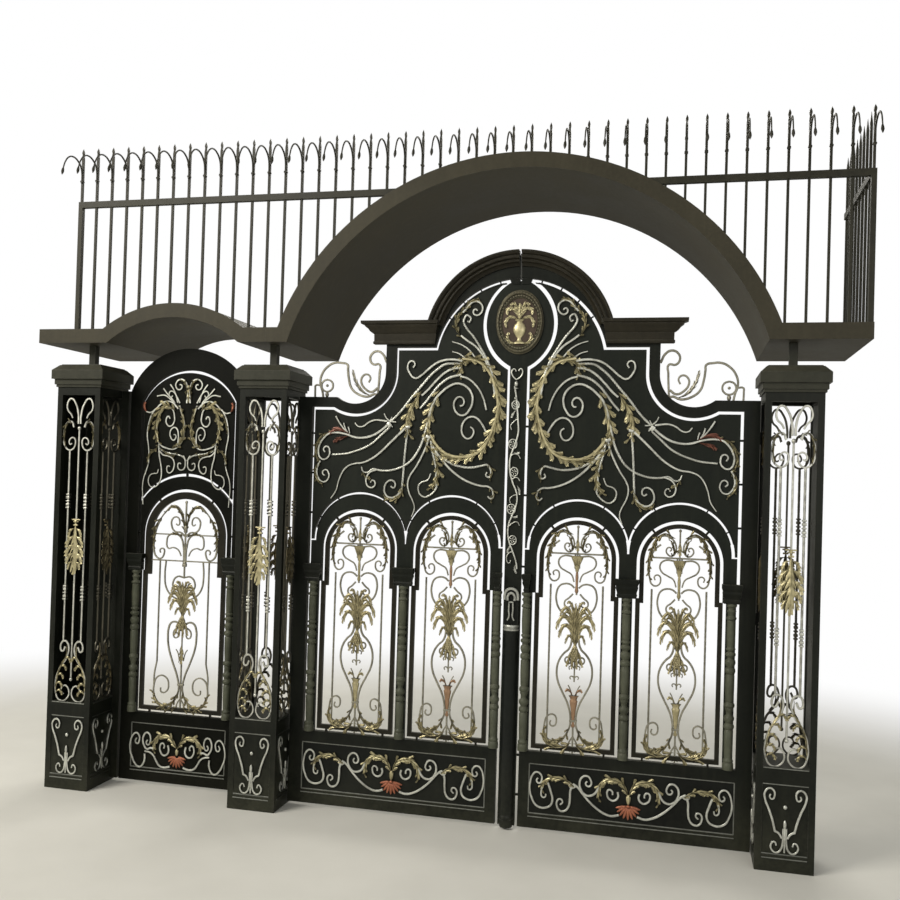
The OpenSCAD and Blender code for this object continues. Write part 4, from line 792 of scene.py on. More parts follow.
# Walk gate: its window's ironwork, the plate over the window and the bottom panel
def walkIron(depth):
    half = [
        ([(6, 1640), (14, 1690), (36, 1758), (88, 1790), (146, 1744), (178, 1704)], 5, 3.8, depth, 0),
        ([(6, 1596), (34, 1618), (76, 1624), (100, 1662), (94, 1704), (62, 1716), (44, 1690), (52, 1664), (68, 1672)],
         5.4, 4, depth, 0),
        ([(6, 1440), (12, 1530), (34, 1590), (80, 1608), (116, 1598), (130, 1560), (118, 1514), (84, 1520),
          (48, 1506), (26, 1468)], 5.4, 4, depth, 0),
        ([(178, 1704), (206, 1640), (221, 1560), (220, 1500), (200, 1456), (170, 1446), (148, 1474), (152, 1510),
          (176, 1502), (172, 1482)], 6, 4.2, depth, 0),
        ([(130, 1436), (136, 1340), (124, 1262), (90, 1216), (48, 1192)], 4.8, 4.8, depth, 0),
        ([(5, 1332), (46, 1336), (76, 1300), (68, 1258), (38, 1256), (32, 1286), (48, 1296)], 5.4, 4, depth, 0),
        ([(12, 1024), (46, 1046), (80, 1038), (97, 1000), (100, 950), (92, 880), (62, 790), (24, 692), (14, 610),
          (56, 530), (126, 512), (176, 552), (188, 632), (160, 690), (110, 692), (84, 642), (104, 594), (136, 594),
          (140, 620)], 6, 4.2, depth, 0),
        ([(12, 1010), (42, 1004), (62, 974), (48, 944), (28, 958), (34, 980)], 5, 3.8, depth, 0),
        ([(14, 800), (26, 850), (40, 872)], 3.5, 3, depth, 0),
        twisted(172, 1446, 790, 5, 22, depth),
        ([(172, 790), (188, 700), (188, 640)], 4.6, 4.6, depth, 0),
        ([(0, 560), (26, 510), (14, 478)], 4.2, 4.2, depth, 0),
    ]
    mid = [([(0, 1812), (0, 1326)], 5.2, 5.2, depth, 0), ([(0, 1010), (0, 860)], 4.2, 4.2, depth, 0),
           ([(-226, 1604), (0, 1604), (226, 1604)], 4.2, 4.2, depth + 1, 0),
           ([(0, 790), (0, 474)], 4.8, 4.8, depth - 1, 0),
           ([(-228, 1436), (0, 1436), (228, 1436)], 4.2, 4.2, depth + 1, 0)]
    rows = [(0, 1640, depth, 11, 22, 9, 0), (0, 1410, depth, 14, 10, 9, 0), (0, 648, depth, 22, 7, 8, 0)]
    return [bars(bothSides(half) + mid), collars(rows),
            lumps([(0, 1812, depth, 9, 11, 8, 0), (0, 1424, depth, 15, 12, 9, 0)])]


def walkWindowLeaves(depth):
    foot = [(20, 596), (50, 536), (112, 504), (166, 528), (190, 590)]
    half = (foliage(foot, 12, 28, depth + 3, (-1, 1, -1))
            + foliage([(172, 1712), (206, 1660), (220, 1590), (218, 1520)], 9, 22, depth + 3, (-1, 1))
            + foliage([(10, 1640), (16, 1690), (40, 1752), (88, 1786), (140, 1746)], 10, 18, depth + 4, (-1, 1))
            + foliage([(20, 1590), (60, 1612), (100, 1606)], 4, 16, depth + 3, (1, -1))
            + foliage([(20, 500), (70, 486), (130, 486)], 6, 20, depth + 4, (1, -1)))
    drop = acanthus([(0, 900), (0, 850), (0, 780)], 20, 20, 4, 7, 5, depth + 4, 8, 0.4)
    return pair(half) + [drop] + palm(1070, 236, 0.92, depth)


# The walk gate's plate: a lyre of scrolls about its middle, with leaves, and red tips to the ribbons
walkHalf = [
    ([(126, 2345), (138, 2361), (153, 2342), (148, 2312), (128, 2297), (100, 2316), (97, 2370), (116, 2411),
      (152, 2420), (184, 2402), (205, 2356), (216, 2300), (219, 2254), (208, 2206), (182, 2172), (147, 2157),
      (105, 2150), (70, 2162), (40, 2198), (26, 2240), (22, 2289), (30, 2340), (48, 2390), (62, 2430)], 4.5, 5, 5, 0),
    ([(66, 2164), (64, 2250), (72, 2277), (88, 2290), (108, 2284), (122, 2259), (117, 2227), (98, 2208), (82, 2220),
      (82, 2240), (96, 2245)], 4.5, 3.5, 6, 0),
    ([(12, 2446), (9, 2500), (13, 2556), (34, 2592), (64, 2598), (88, 2580), (91, 2550), (70, 2532), (50, 2544),
      (53, 2563), (66, 2564)], 5, 3.8, 6, 0),
    ([(60, 2446), (82, 2486), (104, 2516), (128, 2522), (138, 2500), (124, 2484), (112, 2494)], 4.5, 3.6, 6, 0),
    ([(132, 2566), (112, 2540), (92, 2504), (76, 2450)], 4, 4, 5, 0),
    ([(180, 2540), (142, 2496), (114, 2470), (94, 2444)], 4, 4, 5, 0),
    ([(224, 2490), (170, 2496), (135, 2476), (108, 2451), (86, 2420)], 4, 4, 5, 0),
    ([(70, 2410), (88, 2430), (115, 2451), (150, 2457), (188, 2443), (229, 2407), (265, 2384), (296, 2390)], 5, 4, 7,
     0),
    ([(2, 2076), (29, 2103), (71, 2117), (127, 2125), (176, 2140), (210, 2170)], 4.5, 4.5, 5, 4),
    ([(196, 2140), (166, 2112), (135, 2106), (102, 2092), (87, 2066), (88, 2034), (104, 2004), (125, 1998),
      (138, 2023), (131, 2042), (116, 2038)], 4.5, 3.5, 5, 0),
    ([(24, 2110), (12, 2090), (8, 2062), (12, 2034), (25, 2020), (47, 2020), (60, 2040), (52, 2063), (38, 2056)],
     4.5, 3.5, 6, 0),
    ([(232, 2408), (262, 2360), (280, 2290), (284, 2230), (274, 2172), (268, 2115), (270, 2058), (284, 2007),
      (300, 1960), (307, 1910), (304, 1850), (300, 1790)], 4.5, 3, 5, 0),
    ([(200, 2180), (197, 2139), (191, 2094), (180, 2049), (174, 1998), (180, 1950), (200, 1917), (232, 1902),
      (258, 1917), (266, 1950), (252, 1982), (228, 1991), (206, 1994), (197, 2020)], 4.5, 3, 6, 0),
]
walkGold = (foliage([(96, 2400), (140, 2428), (186, 2410), (212, 2340), (222, 2256), (200, 2188)], 14, 34, 6,
                    (1, -1, 1))
            + foliage([(104, 2150), (66, 2168), (38, 2204), (25, 2260), (30, 2340), (58, 2424)], 13, 26, 6,
                      (-1, -1, 1))
            + foliage([(206, 2400), (236, 2380), (262, 2330), (280, 2262)], 6, 16, 6, (1, -1))
            + foliage([(16, 2470), (12, 2530), (26, 2580), (60, 2594)], 7, 15, 7, (1, -1))
            + foliage([(196, 2175), (226, 2146), (262, 2120), (276, 2060)], 6, 18, 6, (1, -1))
            + foliage([(60, 2124), (100, 2108), (140, 2122), (180, 2150)], 6, 14, 7, (1, -1)))
walkMid = [acanthus([(0, 2446), (0, 2500), (0, 2560)], 14, 14, 4, 6, 5, 7, 6, 0.4)]
walkTips = pair([acanthus([(284, 2386), (304, 2400), (314, 2428), (304, 2452)], 14, 8, 3, 7, 5, 6)])
walkPanel = [
    ([(227, 194), (225, 163), (237, 127), (261, 107), (291, 124), (316, 167), (331, 213), (330, 262), (314, 306),
      (292, 322), (270, 308), (268, 272), (280, 254), (296, 267), (286, 290)], 6, 4.5, 5, 0),
    ([(166, 232), (186, 234), (212, 226), (232, 248), (241, 276), (237, 306), (222, 328), (202, 327), (189, 306),
      (190, 270), (204, 252), (217, 266), (208, 284)], 6, 4.5, 6, 0),
    ([(63, 262), (57, 226), (72, 201), (94, 196), (114, 217), (119, 249), (105, 272), (88, 258), (92, 240)], 6, 4.5,
     6, 0),
    ([(46, 128), (88, 118), (122, 128), (144, 156), (165, 189), (192, 206), (226, 210)], 6, 5, 5, 0),
]
walkArc = [(2, 250), (28, 294), (62, 318), (106, 322), (140, 304), (162, 268), (164, 216)]
walkPanelGold = foliage(walkArc, 11, 34, 6, (-1, -1, 1))
walkPlace, walkWindow = [hang(1, walkX, walkPlateY)], [hang(1, walkX, walkWindowY)]
gather("walk_gate_window_bars", "walk_gate", "window_ironwork", walkIron(windowDepth), walkWindow,
       ["walk_gate_grille"])
gather("walk_gate_window_leaves", "walk_gate", "olive_gold", walkWindowLeaves(windowDepth), walkWindow)
gather("walk_gate_spray", "walk_gate", "silver_scrolls", [bars(bothSides(walkHalf)), bars(bothSides(walkPanel))],
       walkPlace, ["walk_gate_scrolls"])
gather("walk_gate_leaves", "walk_gate", "gold_ironwork",
       pair(walkGold) + walkMid + pair(walkPanelGold) + [bud(0, 200, 246, 9)], walkPlace)
gather("walk_gate_shell", "walk_gate", "red_accents", walkTips + [shell(0, 198, 74)], walkPlace)
print("walk gate done")

# Posts: the ironwork in the open sides, and the applied scrolls on the base boxes
postHalf = [
    ([(8, 2290), (9, 2340), (32, 2420), (64, 2450), (88, 2424), (86, 2376), (62, 2350), (50, 2326)], 6.2, 5, -6, 0),
    ([(38, 2268), (54, 2302), (80, 2300), (100, 2266), (107, 2205), (94, 2142), (54, 2124), (24, 2164), (38, 2202),
      (66, 2188), (62, 2160), (48, 2166)], 6.2, 4.4, -5, 0),
    ([(44, 886), (66, 856), (78, 892), (54, 922), (24, 898), (32, 820), (80, 748), (106, 672), (105, 596), (72, 546),
      (26, 558), (11, 614), (42, 642), (66, 606), (46, 588)], 6.2, 4.4, -5, 0),
]
postMid = [([(0, 2262), (0, 1676)], 5.4, 5.4, -7, 0), ([(0, 1372), (0, 690)], 5.4, 5.4, -7, 0)]
rod = {"u": 62, "top": 2126, "foot": 916, "w": -6}
knuckles = [(k * rod["u"], z0 + rise, rod["w"], 11.5, h, 11.5, 0) for k in (-1, 1) for z0 in (1802, 1225)
            for rise, h in ((41, 5), (22, 8), (0, 4), (-22, 8), (-41, 5))]
plainRods = [([(k * rod["u"], rod["top"]), (k * rod["u"], rod["foot"])], 5.4, 5.4, rod["w"], 0) for k in (-1, 1)]
turnedRods = [twisted(k * rod["u"], rod["top"], rod["foot"], 6, 40, rod["w"]) for k in (-1, 1)]
lyre = [(34, 900), (36, 820), (78, 750), (98, 680), (102, 610)]
postGold = (foliage([(46, 2296), (76, 2304), (98, 2266), (104, 2204), (92, 2144)], 8, 15, -2, (-1, 1))
            + [acanthus(lyre, 10, 6, 8, 6, 4, -4, 6, 0.5)]
            + [acanthus([(x + 4, v), (x - 8, v + 24), (x - 28, v + 30), (x - 42, v + 14), (x - 44, v - 2)],
                        10, 12, 4, 7, 5, -2, 6, 0.6)
               for x, v in ((48, 790), (76, 738), (95, 684), (102, 630), (100, 582))])
postFronds = [acanthus([(6, v), (26, v - 8), (46 * k, v - 34 * k), (54 * k, v - 70 * k)], 17 * k, 15 * k,
                       4, 6, 7, 4, 6, 0.5)
              for v, k in ((1630, 0.8), (1580, 1.0), (1526, 1.05), (1474, 0.95), (1424, 0.75))]
postLeaf = (pair(postFronds)
            + [acanthus([(0, 1650), (0, 1540), (0, 1450), (0, 1338)], 34, 34, 6, 12, 8, 0, 10, 0.5),
               acanthus([(0, 1640), (0, 1662), (0, 1684)], 13, 13, 2, 5, 2, -1),
               collars([(0, 1686, -6, 30, 4, 6, 0), (0, 1674, -6, 18, 4, 6, 0), (0, 1652, -4, 15, 5, 8, 0)])])
baseHalf = [
    ([(74, 404), (78, 386), (64, 378), (54, 398), (58, 422), (79, 434), (103, 412), (101, 373), (82, 325), (62, 267),
      (49, 212)], 4, 6, 5, 0),
    ([(52, 214), (30, 203), (14, 178)], 6, 5, 6, 0),
    ([(7, 230), (9, 150), (20, 115), (42, 101), (65, 118), (66, 144), (50, 157), (40, 138)], 5.5, 4, 5, 0),
]
postX, turns = (leftX, 0, rightX), (0, 90, 180, 270)


def faces(places, angles, depth=postFace):
    return [onPost(x, a, depth) for x in places for a in angles]


streetFaces, shadeFaces = faces(postX, turns[:1]), faces(postX, turns[1:])
ironwork = [bars(bothSides(postHalf) + postMid), collars(knuckles),
            lumps([(0, 2262, -5, 12, 14, 10, 0), (0, 682, -5, 11, 12, 9, 0)])]
plain, turnedBars = bars(plainRods), bars(turnedRods)
goldLeaves = pair(postGold) + postLeaf
gather("post_ironwork", "gate_posts", "silver_ironwork", ironwork, streetFaces, ["post_grilles"])
# The side and back faces take the darker copies of the finish: painted shade
gather("post_ironwork_inside", "gate_posts", "shade_ironwork", ironwork, shadeFaces)
for name, rods, places in (("post_rods", plain, postX[:2]), ("right_post_rods", turnedBars, postX[2:])):
    gather(name, "gate_posts", "silver_ironwork", [rods], faces(places, turns[:1]))
    gather(name + "_inside", "gate_posts", "shade_ironwork", [rods], faces(places, turns[1:]))
gather("post_leaves", "gate_posts", "gold_ironwork", goldLeaves, streetFaces)
gather("post_leaves_inside", "gate_posts", "shade_gold", goldLeaves, shadeFaces)
gather("post_base_ironwork", "gate_posts", "silver_scrolls",
       [bars(bothSides(baseHalf) + [([(0, 104), (0, 180), (0, 240)], 4, 5.5, 8, 0)]),
        lumps([(0, 340, 6, 11, 12, 9, 0), (0, 248, 8, 9, 26, 8, 0)])],
       faces(postX, turns, boxFace), ["post_base_scrolls"])
print("posts done")

# Columns: turned shafts with knops, dark capitals over them
shaft = [(0, 458), (29, 458), (30, 474), (29, 494), (24, 498), (27, 502), (28, 508), (26, 514), (21, 519), (22, 532),
         (24, 600), (24.5, 671), (19, 678), (26, 684), (28.5, 695), (26, 706), (18, 712), (20, 719), (27, 731),
         (28.5, 742), (25, 751), (17, 758), (16, 767), (18, 778), (24, 788), (21, 797), (27, 801), (29, 811),
         (27, 821), (19, 828), (22, 836), (24.5, 900), (24.5, 974), (19, 982), (26, 988), (28.5, 1000), (26, 1013),
         (18, 1018), (24, 1030), (28.5, 1044), (26, 1059), (17, 1066), (18, 1076), (26, 1082), (28.5, 1090),
         (26, 1098), (17, 1103), (20, 1111), (26, 1117), (26, 1123), (19, 1129), (22, 1138), (24, 1200), (23, 1274),
         (18, 1278), (26, 1282), (28, 1288), (26, 1295), (19, 1300), (20, 1318), (25, 1323), (26, 1327), (24, 1331),
         (18, 1336), (19, 1346), (27, 1351), (29.5, 1360), (27, 1368), (0, 1368)]
capitalRows = [(1368, -6, 27), (1378, -6, 27), (1381, -3, 30), (1387, -3, 30), (1391, -6, 27), (1402, -5, 28),
          (1410, -2, 30), (1418, 0, 34), (1421, 2, 35), (1430, 2, 35), (1433, 0, 34), (1440, 2, 36), (1448, 5, 39),
          (1452, 6, 40), (1474, 6, 40)]


def capital(half):
    return stack([(v, -half - grow, half + grow, -6, out) for v, grow, out in capitalRows])


# Each column of a leaf: its place from the meeting line, and the half width of its capital
columnRows = ((86, 20), (655.5, 60), (1225, 49))
softAngle = 50
column = turned(shaft, 22, -5)
leafColumns = [moved(column, u) for u, half in columnRows]
leafCapitals = [moved(capital(half), u) for u, half in columnRows]
for leaf, place in framePlaces.items():
    gather(leaf + "_turned_columns", leaf, "olive_columns", leafColumns, place, [leaf + "_columns"], softAngle)
    gather(leaf + "_capitals", leaf, "dark_frame", leafCapitals, place)
walkColumns = [hang(1, walkX + side * 330, walkLeafY) for side in (-1, 1)]
gather("walk_gate_turned_columns", "walk_gate", "olive_columns", [column], walkColumns, ["walk_gate_columns"],
       softAngle)
gather("walk_gate_capitals", "walk_gate", "dark_frame", [capital(49)], walkColumns)
print("columns done")

# Cornice: the wing's moulded block and the crown's nested mouldings
crownRows = [(563, -2), (563, 55), (553, 55), (551, 51), (547, 49), (543, 46), (540, 41), (538, 36), (534, 36),
             (533, 42), (529, 45), (521, 45), (517, 42), (515, 34), (511, 29), (507, 29), (506, 34), (502, 36),
             (496, 35), (494, 27), (490, 21), (486, 18), (482, 12), (478, 10), (475, 8), (475, -2)]
wingRows = [(2806, 877, 18), (2811, 884, 23), (2822, 884, 23), (2826, 879, 18), (2868, 880, 19), (2872, 888, 23),
            (2884, 903, 31), (2898, 913, 35), (2908, 926, 41), (2913, 932, 43), (2920, 933, 43.5), (2923, 944, 48),
            (2927, 955, 53.5), (2945, 957, 54.5)]
crownV, wingReach = 2786, 503
cornicePieces = [bent(crownRows, 0, crownV, 15.5, 89.28, 64),
                 stack([(v, math.sqrt(wingReach ** 2 - (v - crownV) ** 2), u, -2, w) for v, u, w in wingRows])]
for leaf, place in framePlaces.items():
    gather(leaf + "_crown_mouldings", leaf, "cornice_paint", cornicePieces, place, [leaf + "_cornice"], 30)

# Small keys that bridge the light slots of the crown and over the windows
slotV, slotR = 2680, 499.5
archV, archR = 1622, 287


def slotKeys(u, v, r, angles):
    turns = [(a, math.radians(a)) for a in angles]
    return [(u + r * math.cos(t), v + r * math.sin(t), -11, 13, 4, 6, a) for a, t in turns]


keys = slotKeys(0, slotV, slotR, (34, 48, 62, 76))
for c in windowPlaces:
    keys += slotKeys(c, archV, archR, (28, 60, 120, 152))
for leaf, place in leafPlaces.items():
    gather(leaf + "_slot_keys", leaf, "dark_frame", [collars(keys)], place)


# Raised lips along the edges of those slots, and the plate that bridges the crown's slot over the oval
def lip(v, r, near, u, a0, a1, steps=40):
    rows = [(r, -28), (r, 4), (r + near * 1.2, 5.2), (r + near * 2.8, 4), (r + near * 2.8, -28)]
    return bent(rows, u, v, a0, a1, steps)


lips = [lip(slotV, slotR - 8.5, 1, 0, 22, 80)]
lips += [lip(archV, archR - near * 8.5, near, c, 14, 166) for c in windowPlaces for near in (-1, 1)]
bridge = [stack([(v, 5, u, -20, 4) for v, u in ((3156, 50), (3164, 56), (3178, 62), (3190, 66))])]
for leaf, place in leafPlaces.items():
    gather(leaf + "_slot_lips", leaf, "dark_frame", lips + bridge, place)
# A stop along the left leaf's edge, behind the seam of the crown
gather("left_leaf_crown_stop", "left_leaf", "dark_frame", [stack([(v, 6, 10, -75, -32) for v in (3195, 3344)])],
       framePlaces["left_leaf"])
print("cornices done")

# Pin mouldings round the bottom panels and the recesses of the posts, paler than the frames: brushed finish and
# painted highlight on their rounds
def pinFrame(u0, v0, u1, v1, r, depth):
    corners = [(u0, v0), (u1, v0), (u1, v1), (u0, v1), (u0, v0)]
    return [([a, b], r, r, depth, 0) for a, b in zip(corners, corners[1:])]


# The frame inside a bottom panel's edge, and the line under it
def panelPins(node, middle):
    low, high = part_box(node)
    u0, u1 = low[0] / mm - middle, high[0] / mm - middle
    return bars(pinFrame(u0 + 3, 105, u1 - 3, 387, 3.2, 1) + [([(u0, 86), (u1, 86)], 3, 3, 6, 0)], res=1)


leafPins = panelPins("right_leaf_bottom_panel", driveX)
for leaf, place in leafPlaces.items():
    gather(leaf + "_pin_mouldings", leaf, "pin_mouldings", [leafPins], place)
gather("walk_gate_pin_mouldings", "walk_gate", "pin_mouldings", [panelPins("walk_gate_bottom_panel", walkX)],
       walkPlace)
gather("post_pin_mouldings", "gate_posts", "pin_mouldings",
       [bars([([(-114, v), (114, v)], 3, 3, w, 0) for v, w in ((455, 1), (91, 1), (70, 5), (540, 5))], res=1)],
       faces(postX, turns, boxFace))
print("pin mouldings done")

# Shoulder scrolls
shoulder = [
    ([(806, 2700), (812, 2712), (828, 2746), (866, 2770), (904, 2752), (912, 2716), (891, 2690), (852, 2689),
      (851, 2640), (855, 2548), (858, 2506)], 7, 6, -22, 0),
    ([(861, 2546), (898, 2523), (938, 2541), (965, 2580), (960, 2614), (931, 2630), (908, 2610), (918, 2580)], 7, 5,
     -22, 0),
    ([(862, 2494), (867, 2508), (923, 2494), (977, 2506), (1026, 2544), (1046, 2606), (1053, 2660), (1056, 2688),
      (1094, 2699), (1137, 2700), (1181, 2679), (1220, 2629), (1229, 2574), (1214, 2525), (1206, 2484)], 7, 6, -22,
      0),
    ([(1183, 2597), (1209, 2586), (1220, 2560), (1209, 2534), (1183, 2523), (1157, 2534), (1146, 2560), (1157, 2586),
      (1184, 2597)], 5.5, 5.5, -22, 0),
    ([(1229, 2562), (1259, 2560), (1261, 2540), (1260, 2484)], 5.5, 5.5, -22, 0),
]
shoulderLeaf = acanthus([(900, 2500), (950, 2520), (988, 2560), (1010, 2604), (1022, 2660)], 16, 12, 6, 6, 5, -24, 6,
                        0.4)
shoulderWork = [bars(shoulder), shoulderLeaf,
                lumps([(1183, 2505, -22, 12, 18, 10, 0), (1183, 2560, -22, 9, 9, 8, 0)])]
for leaf, place in framePlaces.items():
    gather(leaf + "_shoulder_work", leaf, "window_ironwork", shoulderWork, place, [leaf + "_shoulder_scroll"])

# Meeting strip: a vine with roses and small leaves, a bell and two hooks at its top
vine = [(-19, 2560), (-8, 2500), (-1, 2440), (6, 2365), (10, 2290), (-8, 2219), (-32, 2148), (-34, 2072), (-16, 2003),
        (10, 1940), (12, 1882), (-12, 1811), (-34, 1740), (-28, 1665), (-2, 1596), (18, 1540), (24, 1500)]
twigs = [([(-34, 2150), (-13, 2166), (12, 2162), (26, 2140)], 3, 2, 7, 0),
         ([(-34, 1742), (-8, 1765), (20, 1772), (32, 1752)], 3, 2, 7, 0),
         ([(-2, 1600), (-26, 1590), (-38, 1556), (-24, 1532), (-12, 1548)], 3, 2.5, 7, 0),
         ([(4, 2372), (-20, 2352), (-36, 2330), (-30, 2306)], 3, 2, 7, 0),
         ([(10, 1930), (-14, 1922), (-30, 1900), (-24, 1880)], 3, 2, 7, 0),
         ([(-20, 2020), (10, 2030), (28, 2010)], 3, 2, 7, 0),
         ([(-12, 2600), (-34, 2624), (-38, 2650), (-22, 2662), (-12, 2646)], 4, 3, 7, 0),
         ([(-8, 2600), (16, 2618), (26, 2646), (14, 2664), (2, 2650)], 4, 3, 7, 0)]


# A rose: a round wire with petals and an eye
def rose(u, v, r):
    wire = [(u + math.cos(a) * r, v + math.sin(a) * r * 1.15) for a in (k * math.pi / 5 for k in range(11))]
    petals = [(u + math.cos(a) * r * 0.52, v + math.sin(a) * r * 0.56, 7, r * 0.34, r * 0.22, 4, math.degrees(a))
              for a in (k * math.pi / 3 + 0.3 for k in range(6))]
    return (wire, 3.2, 3.2, 6, 0), petals + [(u, v, 11, r * 0.2, r * 0.2, 5, 0)]


roses = [rose(u, v, r)
         for u, v, r in ((-20, 2224, 24), (-8, 2062, 22), (-18, 1846, 24), (-6, 1666, 22), (-10, 2452, 21))]
wires = [wire for wire, petals in roses]
roseRows = [row for wire, petals in roses for row in petals]
bell = [(-10, 2574, 8, 13, 20, 10, 0), (-10, 2548, 8, 17, 6, 11, 0), (-10, 2600, 8, 8, 6, 8, 0),
        (-12, 2490, 8, 9, 9, 9, 0)]
stripLines = ([(-2, 2424), (-22, 2404), (-32, 2376)], [(-16, 2180), (2, 2168), (22, 2176)],
              [(10, 1986), (24, 1962), (28, 1930)], [(-18, 1806), (2, 1798), (20, 1806)],
              [(-10, 1632), (-28, 1618), (-34, 1590)], [(20, 1530), (10, 1502), (22, 1476)])
stripLeaves = [acanthus(pts, 7, 7, 3, 3, 3, 5, 6, 0.4) for pts in stripLines]
onStrip = leafPlaces["right_leaf"]
gather("meeting_vine", "right_leaf", "silver_scrolls",
       [bars([(vine, 5, 4.4, 5, 0)] + twigs + wires), lumps(roseRows + bell, 1)] + stripLeaves, onStrip, (), 60)

# Medallion: a raised rim with a beaded ring, a coppery ground and an urn of leaves
ovalA, ovalB, ovalV = 140, 188, 2935


def ovalRound(rows, steps=56):
    me = turned(rows, steps)
    me.transform(Matrix.Rotation(math.pi / 2, 4, "X"))
    me.transform(Matrix.Translation((0, ovalV, 0)) @ Matrix.Diagonal((ovalA, ovalB, 1, 1)))
    return me


rim = ovalRound([(0, 0), (1, 0), (1, 7), (0.985, 9), (0.965, 9), (0.955, 13), (0.935, 17), (0.905, 18), (0.88, 16),
                 (0.865, 11), (0.86, 8), (0.78, 8), (0.772, 11), (0.758, 12.5), (0.744, 11), (0.736, 7), (0, 7)])
beadCount, beadRing, dentRing, dentLean = 46, 0.82, 0.915, 62
beadRows = []
for i in range(beadCount):
    a = 2 * math.pi * i / beadCount
    u, v = math.cos(a) * ovalA, math.sin(a) * ovalB
    beadRows.append((u * beadRing, ovalV + v * beadRing, 9, 7.5, 7.5, 6, 0))
    beadRows.append((u * dentRing, ovalV + v * dentRing, 18, 5, 8, 3, math.degrees(a) - dentLean))
ground = ovalRound([(0, 6), (0.742, 6), (0.742, 8.2), (0.4, 9.0), (0, 9.2)])
urn = turned([(0, -122), (34, -122), (35, -114), (18, -107), (11, -96), (10, -88), (24, -74), (35, -52), (38, -30),
              (30, -10), (17, 2), (15, 8), (26, 15), (28, 20), (0, 20)], 20, 0)
urnV = ovalV - 6
placed(urn, (0, urnV, 8), 0.42)


def fromUrn(pts, left, right, lobes, depth):
    return acanthus([(u, v + urnV) for u, v in pts], left, right, lobes, 5, 5, depth, 8, 0.35)


urnLeaves = pair([fromUrn([(2, 12), (14, 56), (44, 88), (74, 74), (72, 46)], 13, 15, 7, 11),
                  fromUrn([(2, 12), (8, 66), (32, 112), (60, 104)], 12, 13, 6, 12),
                  fromUrn([(4, 12), (34, 36), (68, 30), (84, 0), (76, -28)], 11, 13, 7, 10),
                  fromUrn([(8, -112), (40, -116), (66, -98), (70, -70), (54, -60)], 10, 13, 6, 9)])
urnLeaves.append(fromUrn([(0, 10), (0, 56), (0, 116)], 13, 13, 6, 14))
gather("medallion_rim", "right_leaf", "medallion_rim", [rim, lumps(beadRows, 1)], onStrip, ["medallion"], 40)
gather("medallion_ground", "right_leaf", "medallion_ground", [ground], onStrip)
gather("medallion_urn", "right_leaf", "gold_ironwork", [urn] + urnLeaves, onStrip)

# Lock: a dark case with a hood, a pull and a double collar; the half round pole stands under it
case = stack([(1176, -40, 40, 0, 22), (1178, -42, 42, 0, 24), (1352, -42, 42, 0, 24), (1372, -38, 38, 0, 23),
              (1386, -24, 24, 0, 22), (1392, -10, 10, 0, 20)])
hoodLines = [([(-38, 1322), (-38, 1352), (-27, 1376), (0, 1387), (27, 1376), (38, 1352), (38, 1322)], 8, 8, 26, 0),
             ([(-20, 1318), (-20, 1344), (0, 1362), (20, 1344), (20, 1318)], 7, 7, 28, 0)]
pull = [([(-11, 1302), (-12, 1262), (-10, 1226), (-20, 1204)], 4.5, 4, 31, 0),
        ([(11, 1302), (12, 1262), (10, 1226), (20, 1204)], 4.5, 4, 31, 0),
        ([(-14, 1306), (0, 1310), (14, 1306)], 5, 5, 30, 0)]
collar = turned([(0, 1143), (44, 1143), (47.5, 1147), (47.5, 1154), (43, 1158), (43, 1162), (47.5, 1166),
                 (47.5, 1173), (44, 1178), (0, 1178)],
                28, 0)
poleRows = [(0, 12), (37, 12), (38, 20), (38, 54), (44, 58), (46.5, 66), (46.5, 74), (43, 80), (41, 86), (43, 92),
            (43, 1130), (45, 1134), (45, 1143), (0, 1143)]
gather("lock_body", "right_leaf", "black_panel", [case], onStrip, ["lock_case"])
gather("lock_trim", "right_leaf", "lock_metal", [bars(hoodLines), bars(pull, res=3), collar], onStrip)
gather("half_round_pole", "right_leaf", "pole_paint", [turned(poleRows, 28, 0)], onStrip, ["centre_pole"], 50)
print("meeting line done")

# Railing: hooks that lean out over the street, each with a small leaf, and leaf shaped spear heads
railing = {"count": 45, "pitch": 106.3, "first": leftX - 43, "y": -131}
barPlaces = []
for i in range(railing["count"]):
    x = (railing["first"] + railing["pitch"] * i) * mm
    barPlaces.append(Matrix(((0, 0, -mm, x), (-mm, 0, 0, railing["y"] * mm), (0, mm, 0, 0), (0, 0, 0, 1))))
hook = [(3, 3812), (2, 3862), (14, 3908), (52, 3942), (98, 3952), (142, 3938), (178, 3898), (196, 3856)]
leafTip = turned([(0, 3804), (5, 3814), (9, 3828), (7.5, 3844), (3.5, 3858), (0, 3862)], 8)
leafTip.transform(Matrix.Translation((202, 3830, 0)) @ turnedTo(14) @ Matrix.Translation((0, -3830, 0)))
hookCollar = collars([(-3, 3826, 0, 11, 6, 10, 0)])
gather("street_hooks", "gate_posts", "railing_paint", [bars([(hook, 5.5, 3.5, 0, 0)], res=3), leafTip, hookCollar],
       barPlaces, ["railing_hooks"])
head = turned([(0, 3979), (8, 3980), (8.5, 3986), (5.8, 3991), (9, 3999), (11.5, 4008), (10, 4017), (5, 4027),
               (0, 4034.5)], 4)
head.transform(Matrix.Diagonal((1, 1, 0.8, 1)))
head.transform(Matrix.Rotation(math.pi / 4, 4, "Y"))
# A spear head stands a little behind its hook
spearPlaces = [m @ Matrix.Translation((-6, 0, 0)) for m in barPlaces]
gather("spear_heads", "gate_posts", "railing_paint", [head], spearPlaces, (), 20)
print("railing done")


